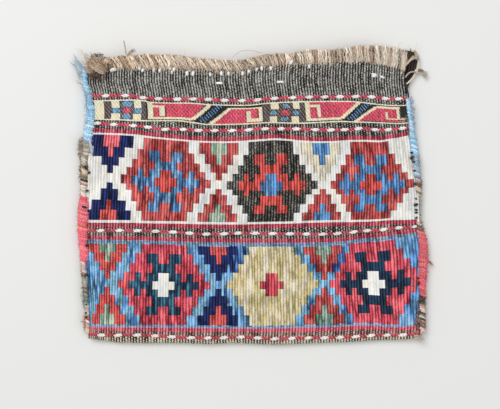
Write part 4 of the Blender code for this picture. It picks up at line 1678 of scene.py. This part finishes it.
def make_warp_ends():
    """Bare warp ends that lean, curl, bundle and turn in over the mouth's edge."""
    chance = random.Random(11)
    skein = Skein()
    width = pouch_sizes().strand_width
    strands = round(RIBS * STRANDS_PER_RIB)
    for strand in range(strands):
        root = (strand + chance.uniform(0.1, 0.9)) / strands
        if STRAND_SPAN[0] < root < STRAND_SPAN[1]:
            lay_warp_end(skein, chance, root, width / 2)
    for _ in range(MOUTH_HAIRS):
        lay_mouth_hair(skein, chance, width * 0.10)
    piece = place_mesh(skein.done(), "warp_ends", yarn_finish("warp_end_wool", 0.35, 2.0, 0.9))


def warp_end_colour(chance, across):
    """Tan to the left, paler to the right, with whitish and dark ends among them."""
    pick = chance.random()
    if pick < (0.04 if across > 0.12 else 0.16):
        return wool("fringe_dark")
    if pick > 0.92 - 0.25 * across:
        return wool("fringe_pale")
    share = clamp(chance.gauss(0.04 + 0.62 * across, 0.25))
    return wool("fringe").lerp(wool("fringe_pale"), share)


def mouth_lean(root):
    """How far a warp end leans on its way up, as a share of the width; left is negative."""
    left = (1.0 - smooth_step((root - 0.45) / 0.35)) * smooth_step(root / 0.15)
    return 0.012 * smooth_step((root - 0.93) / 0.05) - 0.022 * left


def lay_warp_end(skein, chance, root, radius):
    """One warp end: up the cloth's face, over the mouth's turn and down inside."""
    radius *= chance.uniform(0.45, 0.95)
    bundle = round(root * BUNDLES)
    clump = (bundle + 0.6 * sin(bundle * 2.3)) / BUNDLES
    top = root + mouth_lean(root) + (clump - root) * 0.55 + chance.uniform(-0.003, 0.003)
    top = min(0.998, max(0.008, top))
    start = smooth_line(HEADING_TOP, root) * MM - max(0.0, chance.gauss(0.0005, 0.0009))
    lift = chance.uniform(-0.0002, 0.0005)
    curl, turns, phase = chance.uniform(0.0001, 0.0006), chance.uniform(0.6, 1.8), chance.random()
    path, radii = [], []
    for step in range(STRAND_STEPS + 1):
        share = step / STRAND_STEPS
        across = root + (top - root) * share ** 1.3
        _, crown = panel_span(across)
        y = start + (crown - start) * share
        sway = curl * sin(2 * pi * (turns * share + phase)) * smooth_step(share * 2)
        x = lateral(side_edge, across, y) + sway
        puff = radius * 0.6 + chance.uniform(0.0, 0.0005)
        z = front_surface(across, y) - 0.0003 + (puff + lift + 0.0003) * smooth_step(share * 3)
        path.append((x, y, z))
        radii.append(radius * (0.7 + 0.3 * share))
    _, crown = panel_span(top)
    middle = front_height(top, crown) - TURN_RADIUS
    reach = TURN_RADIUS + BARE_THICKNESS / 2 + lift
    for angle in (0.25, 0.5, 0.80):
        path.append((x, crown + reach * sin(pi * angle),
                     middle + reach * cos(pi * angle)))
        radii.append(radius)
    tail = chance.uniform(0.004, 0.009)
    for share in (0.3, 1.0):
        y = crown - tail * share
        across = across_at(x, y)
        z = front_height(across, y) - 2 * TURN_RADIUS - BARE_THICKNESS / 2
        path.append((x, y, z - radius * 0.6 - 0.0001))
        radii.append(radius * (1.0 - 0.5 * share))
    tone = noise.cell((bundle + 0.5, 4.5, 2.5)) - 0.15
    other = wool("fringe_pale" if tone > 0 else "fringe_dark")
    colour = warp_end_colour(chance, root).lerp(other, abs(tone) * 0.6)
    skein.lay(path, radii, colour, sides=4, flat=1.1,
              hint=(1, 0, 0), tint=any_tint(chance, 0.72, 0.34))


def lay_mouth_hair(skein, chance, radius):
    """One fine hair among the warp ends; a few spring out over the mouth."""
    across = chance.uniform(0.01, 0.98)
    _, crown = panel_span(across)
    y = crown - chance.uniform(-0.0006, 0.0110)
    x = lateral(side_edge, across, y)
    reach = chance.uniform(0.002, 0.0055)
    most = crown + (chance.uniform(0.001, 0.0032) if chance.random() < 0.14 else 0.0011)
    angle = pi / 2 + chance.gauss(0.35 if across < 0.7 else 0.0, 0.6)
    path = []
    for step in range(6):
        share = step / 5
        turned = angle + 0.9 * sin(share * 3 + reach * 900)
        place = (x + reach * share * cos(turned),
                 min(most, y + reach * share * sin(turned)) + 0.0002 * share)
        rest = front_surface(across_at(*place), min(place[1], crown))
        beyond = max(0.0, place[1] - crown)
        path.append((*place, max(0.001, rest + 0.0012 - beyond * 0.5)))
    skein.lay(path, [radius] * 6, warp_end_colour(chance, across), sides=3,
              tint=chance.uniform(0.5, 1.0))


def seam_height(side, y):
    across = 0.0 if side == LEFT else 1.0
    stack = 2 * CLOTH_THICKNESS + SEAM_GAP
    return edge_lift(across, y) + stack / 2, stack / 2


def yarn_dye(side, y):
    """Name of the yarn that whips one side at a height up the pouch."""
    share = height_share(y)
    return next(name for lowest, name in YARN_RUNS[side] if share >= lowest)


def yarn_size(table, side, y):
    """How far the yarn of one side reaches in or bulges out at a height up the pouch."""
    return smooth_line(table[side], height_share(y)) * MM


def whip_turn(skein, chance, side, y, pitch, colour, fine):
    """One turn of yarn over the edges of both layers; a fine one lies close to the edge."""
    wall = YARN_WALL / 2 * (0.5 if fine else 1.0)
    size = FINE_BULGE if fine else 1.0
    reach = max(0.0005, yarn_size(YARN_REACHES, side, y) + chance.gauss(0.0, 0.0004))
    room, bulge = YARN_EDGE_ROOM * size, YARN_BULGE * size + wall
    beyond = yarn_size(YARN_BULGES, side, y) * chance.uniform(0.8, 1.2)
    profile = [(reach + 0.0003, 0.35), (reach * 0.75, 0.95), (0.0001, 1.0)]
    for angle in WHIP_ANGLES:
        turn = math.radians(angle)
        profile.append((-room - (bulge + beyond) * cos(turn), sin(turn)))
    profile += [(0.0002, -1.0), (YARN_REACH * 0.5, -1.0), (YARN_REACH, -0.55)]
    lean = side * chance.uniform(0.6, 1.1)
    path = []
    for index, (inward, level) in enumerate(profile):
        share = index / (len(profile) - 1)
        at = y + pitch * lean * (1.0 - 2.0 * smooth_step(share * 1.6))
        middle, half = seam_height(side, at)
        x = side_edge(side, at) - side * inward
        path.append((x, at, middle + level * (half + YARN_CLEARANCE + wall)))
    radius = (0.00034 if fine else 0.00056) * chance.uniform(0.85, 1.2)
    skein.lay(path, tapered(len(path), radius, 0.7, 0.8), colour, sides=6,
              flat=pitch * 0.68 / radius, hint=(0, 1, 0), tint=any_tint(chance))


def make_binding(name, side, start_share, end_share):
    """A run of yarn whipped over one side, one turn beside the next."""
    chance = random.Random(name)
    hue = next(word for word in HAIRS if word in name)
    darker, paler, stray = STRAYS[hue]
    start, end = height_at(start_share), height_at(end_share)
    turns = max(2, round((end - start) / pouch_sizes().whip_pitch))
    pitch = (end - start) / turns
    skein = Skein()

    def strayed(yarn):
        other = darker if chance.random() < 0.5 else paler
        return wool(yarn).lerp(wool(other), stray * chance.random())

    for turn in range(turns):
        y = start + pitch * (turn + 0.5) + chance.uniform(-0.15, 0.15) * pitch
        yarn = yarn_dye(side, y + chance.gauss(0.0, 0.0006))
        fine = yarn == "ivory"
        colour = wool("pure_white") if fine else strayed(yarn)
        whip_turn(skein, chance, side, y, pitch, colour, fine)
    for _ in range(round(HAIRS[hue] * (end - start) / MM)):
        y = chance.uniform(start, end)
        yarn = yarn_dye(side, y)
        if yarn == "ivory" and chance.random() >= 0.25:
            colour = wool("pure_white")
        else:
            colour = strayed("yarn_grey" if yarn == "ivory" else yarn)
        lay_side_hair(skein, chance, side, y, colour)
    piece = place_mesh(skein.done(), name.replace("binding", "whipping"), yarn_finish(name, 0.30))
    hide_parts(name)


def lay_side_hair(skein, chance, side, y, colour):
    """A frayed fibre that stands out of the whipped yarn."""
    middle, half = seam_height(side, y)
    inward = -(YARN_EDGE_ROOM + YARN_BULGE + yarn_size(YARN_BULGES, side, y))
    if chance.random() < 0.4:
        inward = chance.uniform(inward, yarn_size(YARN_REACHES, side, y))
    top = half + YARN_CLEARANCE + YARN_WALL
    if inward < 0:
        top *= chance.uniform(0.0, 0.8)
    x = side_edge(side, y) - side * inward
    z = middle + top * 0.92
    reach = chance.uniform(0.0010, 0.0030)
    angle = chance.uniform(-1.3, 1.3) + (pi if side == LEFT else 0.0)
    path = []
    for step in range(4):
        share = step / 3
        bend = angle + share * chance.uniform(-0.9, 0.9)
        path.append((x + reach * share * cos(bend), y + reach * share * sin(bend),
                     max(0.0003, z + 0.0006 * sin(share * 2.5) - 0.0012 * share)))
    skein.lay(path, [0.00009] * 4, colour, sides=3, tint=chance.uniform(0.2, 0.9))


def lay_stitch(skein, chance, x, y, long, angle, radius, colour, above):
    """A short thread that comes up through the cloth and goes back down."""
    path = []
    for step in range(7):
        share = step / 6 - 0.5
        place = (x + long * share * cos(angle), y + long * share * sin(angle))
        rest = front_surface(across_at(*place), place[1]) + above
        rise = radius * (1.9 * cos(share * pi) - 0.9)
        path.append((*place, rest + rise))
    skein.lay(path, tapered(7, radius, 0.6, 0.6), colour, sides=6, tint=any_tint(chance))


def make_stitches():
    """White stitches that hold the turned-in hem, and dark ones that close the sides."""
    chance = random.Random(5)
    pieces = []
    hem = [(*stitch, HEM_LIFT) for stitch in HEM_STITCHES]
    for name, rows, dyed, slot, growth in (
        ("hem_stitches", hem, "thread", "tan_cord", 1.8),
        ("seam_stitches", SEAM_STITCHES, "knot_dark", "brown_yarn", 1.35),
    ):
        skein = Skein()
        for x, y, long, angle, radius, above in rows:
            lay_stitch(skein, chance, x * MM, y * MM, long * 1.2 * MM, math.radians(angle),
                       radius * growth * MM, wool(dyed), above * MM)
        piece = place_mesh(skein.done(), name, yarn_finish(name, 0.2, 2.0, 1.2))
        pieces.append(piece)
    return pieces


def turned(frame, angle):
    """Direction at an angle in a path's cross-section."""
    wide, tall = frame
    return wide * cos(angle) + tall * sin(angle)


def make_cord_knot(chance, line, frames, colour):
    """The cord's knot, the fibres frayed out by it and the pale strand beside it."""
    skein = Skein()
    index = round(CORD_KNOT * (len(line) - 1))
    centre = line[index]
    ahead = (line[index + 1] - line[index - 1]).normalized()
    for strand in range(2):
        path = []
        for step in range(KNOT_STEPS + 1):
            turn = 2 * pi * 1.5 * step / KNOT_STEPS + pi * strand
            along = ahead * (KNOT_RADIUS * (step / (KNOT_STEPS / 2) - 1.0) * (1 if strand else -1))
            path.append(centre + along + turned(frames[index], turn) * KNOT_RADIUS)
        skein.lay(path, [KNOT_RADIUS / 2] * len(path), colour, sides=6, tint=0.6)
    for steps, spread, first, second in KNOT_TUFTS:
        route = [tuple(centre + Vector(step) * MM) for step in steps]
        lay_tuft(skein, chance, route, spread * MM, 40, 0.00015, wool(first), wool(second))
    strand = curve_through(metres(PALE_STRAND), YARN_POINTS)
    skein.lay(strand, [0.0006] * YARN_POINTS, wool("yarn_grey"), sides=6, tint=0.6)
    knot = place_mesh(skein.done(), "cord_knot", yarn_finish("cord_knot_wool", 0.3, 2.0, 1.1))
    return knot


def make_loose_cord():
    """The two-ply cord at the top right corner, with its knot."""
    width = pouch_sizes().cord_width
    chance = random.Random(3)
    line = [Vector(point) for point in curve_through(CORD_ROUTE, CORD_POINTS)]
    frames = path_frames(line, (0, 0, 1))
    length_along = lengths_along(line)[-1]
    colour = wool("cord")
    skein = Skein()
    twists = length_along / CORD_TWIST
    for ply in range(2):
        path = []
        for index, point in enumerate(line):
            turn = 2 * pi * twists * index / (len(line) - 1) + pi * ply
            path.append(point + turned(frames[index], turn) * (width * 0.25))
        skein.lay(path, [width * 0.29] * len(path), colour, sides=6, tint=0.50 + 0.1 * ply)
    piece = place_mesh(skein.done(), "loose_cord", yarn_finish("corner_cord_wool", 0.25, 2.0, 1.1))
    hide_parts("corner_cord")

    knot = make_cord_knot(chance, line, frames, colour)


def lay_tuft(skein, chance, route, spread, hairs, radius, colour, other):
    """Fibres that follow one route and spread out towards its end."""
    line = [Vector(point) for point in curve_through(route, TUFT_STEPS + 1)]
    for _ in range(hairs):
        near = Vector((chance.gauss(0, 1), chance.gauss(0, 1), abs(chance.gauss(0, 0.5))))
        far = Vector((chance.gauss(0, 1), chance.gauss(0, 1), abs(chance.gauss(0, 0.4))))
        reach = chance.uniform(0.65, 1.0)
        curl, phase = spread * chance.uniform(0.0, 0.7), chance.uniform(0.0, 6.3)
        path = []
        for step in range(TUFT_STEPS + 1):
            share = step / TUFT_STEPS * reach
            low = min(TUFT_STEPS - 1, int(share * TUFT_STEPS))
            point = line[low].lerp(line[low + 1], share * TUFT_STEPS - low)
            offset = near * (spread * 0.35 * (1 - share)) + far * (spread * share)
            sway = curl * sin(share * 7 + phase)
            point = point + offset + Vector((sway, -sway, 0.0))
            path.append((point.x, point.y, max(0.0004, point.z)))
        tone = colour.lerp(other, chance.random())
        skein.lay(path, tapered(len(path), radius * chance.uniform(0.7, 1.4), 0.6, 0.3), tone,
                  sides=3, tint=any_tint(chance))


def lay_fuzz(skein, chance, centre, size, hairs, radius, colour, other):
    """Short curled fibres that lie in all directions within an oval patch."""
    for _ in range(hairs):
        turn, away = chance.uniform(0, 2 * pi), math.sqrt(chance.random())
        start = Vector(centre) + Vector((size[0] * away * cos(turn),
                                         size[1] * away * sin(turn),
                                         chance.uniform(-0.5, 1.0) * MM * (1.0 - away)))
        reach = chance.uniform(0.0010, 0.0026)
        angle, bend = chance.uniform(0, 2 * pi), chance.gauss(0.0, 1.6)
        path = []
        for step in range(6):
            share = step / 5
            place = start + Vector((cos(angle + bend * share), sin(angle + bend * share),
                                    0.25 * sin(share * pi))) * (reach * share)
            path.append((place.x, place.y, max(0.0003, place.z)))
        thick = radius * chance.uniform(0.7, 1.3)
        skein.lay(path, [thick] * len(path), colour.lerp(other, chance.random()),
                  sides=3, tint=any_tint(chance))


def make_tufts():
    """Frayed yarn and hair at the pouch's corners and along its mouth."""
    chance = random.Random(17)
    skein = Skein()
    for route, spread, hairs, radius, first, second in TUFTS:
        lay_tuft(skein, chance, metres(route), spread * MM, hairs, radius * MM, wool(first),
                 wool(second))
    for centre, size, hairs, radius, first, second in FUZZ:
        lay_fuzz(skein, chance, *metres((centre, size)), hairs, radius * MM, wool(first),
                 wool(second))
    for route, radius, name in LOOSE_YARNS:
        skein.lay(curve_through(metres(route), YARN_POINTS),
                  tapered(YARN_POINTS, radius * MM, 0.5, 0.4), wool(name), sides=6,
                  tint=any_tint(chance))
    piece = place_mesh(skein.done(), "frayed_wool", yarn_finish("frayed_wool", 0.35, 2.0, 1.0))


class POUCH_OT_cloth(bpy.types.Operator):
    """Weave the folded cloth with its ribs, slits, bands and medallions"""

    bl_idname = "pouch.cloth"
    bl_label = "Weave Cloth"

    def execute(self, context):
        make_cloth()
        return {"FINISHED"}


class POUCH_OT_warp_ends(bpy.types.Operator):
    """Lay the bare warp ends over the mouth's edge"""

    bl_idname = "pouch.warp_ends"
    bl_label = "Lay Warp Ends"

    def execute(self, context):
        make_warp_ends()
        return {"FINISHED"}


class POUCH_OT_whipping(bpy.types.Operator):
    """Whip the sides with blue, brown and red yarn"""

    bl_idname = "pouch.whipping"
    bl_label = "Whip Sides"

    def execute(self, context):
        for binding in BINDINGS:
            make_binding(*binding)
        return {"FINISHED"}


class POUCH_OT_stitches(bpy.types.Operator):
    bl_idname = "pouch.stitches"
    bl_label = "Sew Stitches"

    def execute(self, context):
        stitches = make_stitches()
        strip_lengths()[-1]
        return {"FINISHED"}


class POUCH_OT_cord(bpy.types.Operator):
    """Lay the loose corner cord with its knot"""

    bl_idname = "pouch.cord"
    bl_label = "Lay Corner Cord"

    def execute(self, context):
        make_loose_cord()
        return {"FINISHED"}


class POUCH_OT_tufts(bpy.types.Operator):
    """Lay the frayed yarn and hair"""

    bl_idname = "pouch.tufts"
    bl_label = "Lay Frayed Wool"

    def execute(self, context):
        make_tufts()
        return {"FINISHED"}


class POUCH_OT_stage(bpy.types.Operator):
    """Set the floor, the lamps and the camera"""

    bl_idname = "pouch.stage"
    bl_label = "Set Stage"

    def execute(self, context):
        scene = context.scene
        scene.view_settings.view_transform = "Standard"
        lay_floor(scene.pouch_stage.floor)
        light_room(scene)
        set_camera(scene, scene.pouch_stage.lens, scene.pouch_stage.camera_height)
        return {"FINISHED"}


def lay_floor(colour):
    shape = bmesh.new()
    bmesh.ops.create_grid(shape, x_segments=2, y_segments=2, size=FLOOR_REACH)
    bmesh.ops.translate(shape, verts=shape.verts, vec=(0.0, 0.0, -RIB_REST))
    finish = Finish("floor_paint", roughness=0.95)
    finish.shader.inputs["Base Color"].default_value = (*colour, 1.0)
    new_object(shape, "floor", finish.material)


def light_room(scene):
    world = bpy.data.worlds.new("studio")
    world.use_nodes = True
    sky = world.node_tree.nodes["Background"]
    sky.inputs["Color"].default_value = (1.0, 1.0, 1.0, 1.0)
    sky.inputs["Strength"].default_value = SKY_STRENGTH
    scene.world = world
    for name, place, power in LAMPS:
        lamp = bpy.data.lights.new(name, "AREA")
        lamp.energy = power
        lamp.size = LAMP_SIZE
        holder = bpy.data.objects.new(name, lamp)
        holder.location = place
        holder.rotation_euler = (-Vector(place)).to_track_quat("-Z", "Y").to_euler()
        scene.collection.objects.link(holder)


def set_camera(scene, lens, height):
    camera = bpy.data.cameras.new("photo_camera")
    camera.lens = lens
    camera.sensor_width = SENSOR_WIDTH
    camera.sensor_fit = "HORIZONTAL"
    holder = bpy.data.objects.new("photo_camera", camera)
    holder.location = (*CAMERA_PLACE, height)
    scene.collection.objects.link(holder)
    scene.camera = holder


class POUCH_PT_panel(bpy.types.Panel):
    """Sizes, dyes and steps of the pouch"""

    bl_idname = "POUCH_PT_panel"
    bl_label = "Kilim Pouch"
    bl_space_type = "VIEW_3D"
    bl_region_type = "UI"
    bl_category = "Kilim Pouch"

    def draw(self, context):
        column = self.layout.column()
        scene = context.scene
        for group in (scene.pouch_sizes, scene.pouch_dyes, scene.pouch_stage):
            for name in group.bl_rna.properties.keys():
                if name not in ("rna_type", "name"):
                    column.prop(group, name)
        for operator in OPERATORS:
            column.operator(operator.bl_idname)


OPERATORS = (
    POUCH_OT_stage,
    POUCH_OT_cloth,
    POUCH_OT_warp_ends,
    POUCH_OT_whipping,
    POUCH_OT_stitches,
    POUCH_OT_cord,
    POUCH_OT_tufts,
)
CLASSES = (PouchSizes, PouchDyes, PouchStage, *OPERATORS, POUCH_PT_panel)


def register():
    for entry in CLASSES:
        bpy.utils.register_class(entry)
    bpy.types.Scene.pouch_sizes = bpy.props.PointerProperty(type=PouchSizes)
    bpy.types.Scene.pouch_dyes = bpy.props.PointerProperty(type=PouchDyes)
    bpy.types.Scene.pouch_stage = bpy.props.PointerProperty(type=PouchStage)


def unregister():
    del bpy.types.Scene.pouch_stage
    del bpy.types.Scene.pouch_dyes
    del bpy.types.Scene.pouch_sizes
    for entry in reversed(CLASSES):
        bpy.utils.unregister_class(entry)


def main():
    register()
    bpy.ops.pouch.stage()
    bpy.ops.pouch.cloth()
    bpy.ops.pouch.warp_ends()
    bpy.ops.pouch.whipping()
    bpy.ops.pouch.stitches()
    bpy.ops.pouch.cord()
    bpy.ops.pouch.tufts()


if __name__ == "__main__":
    main()
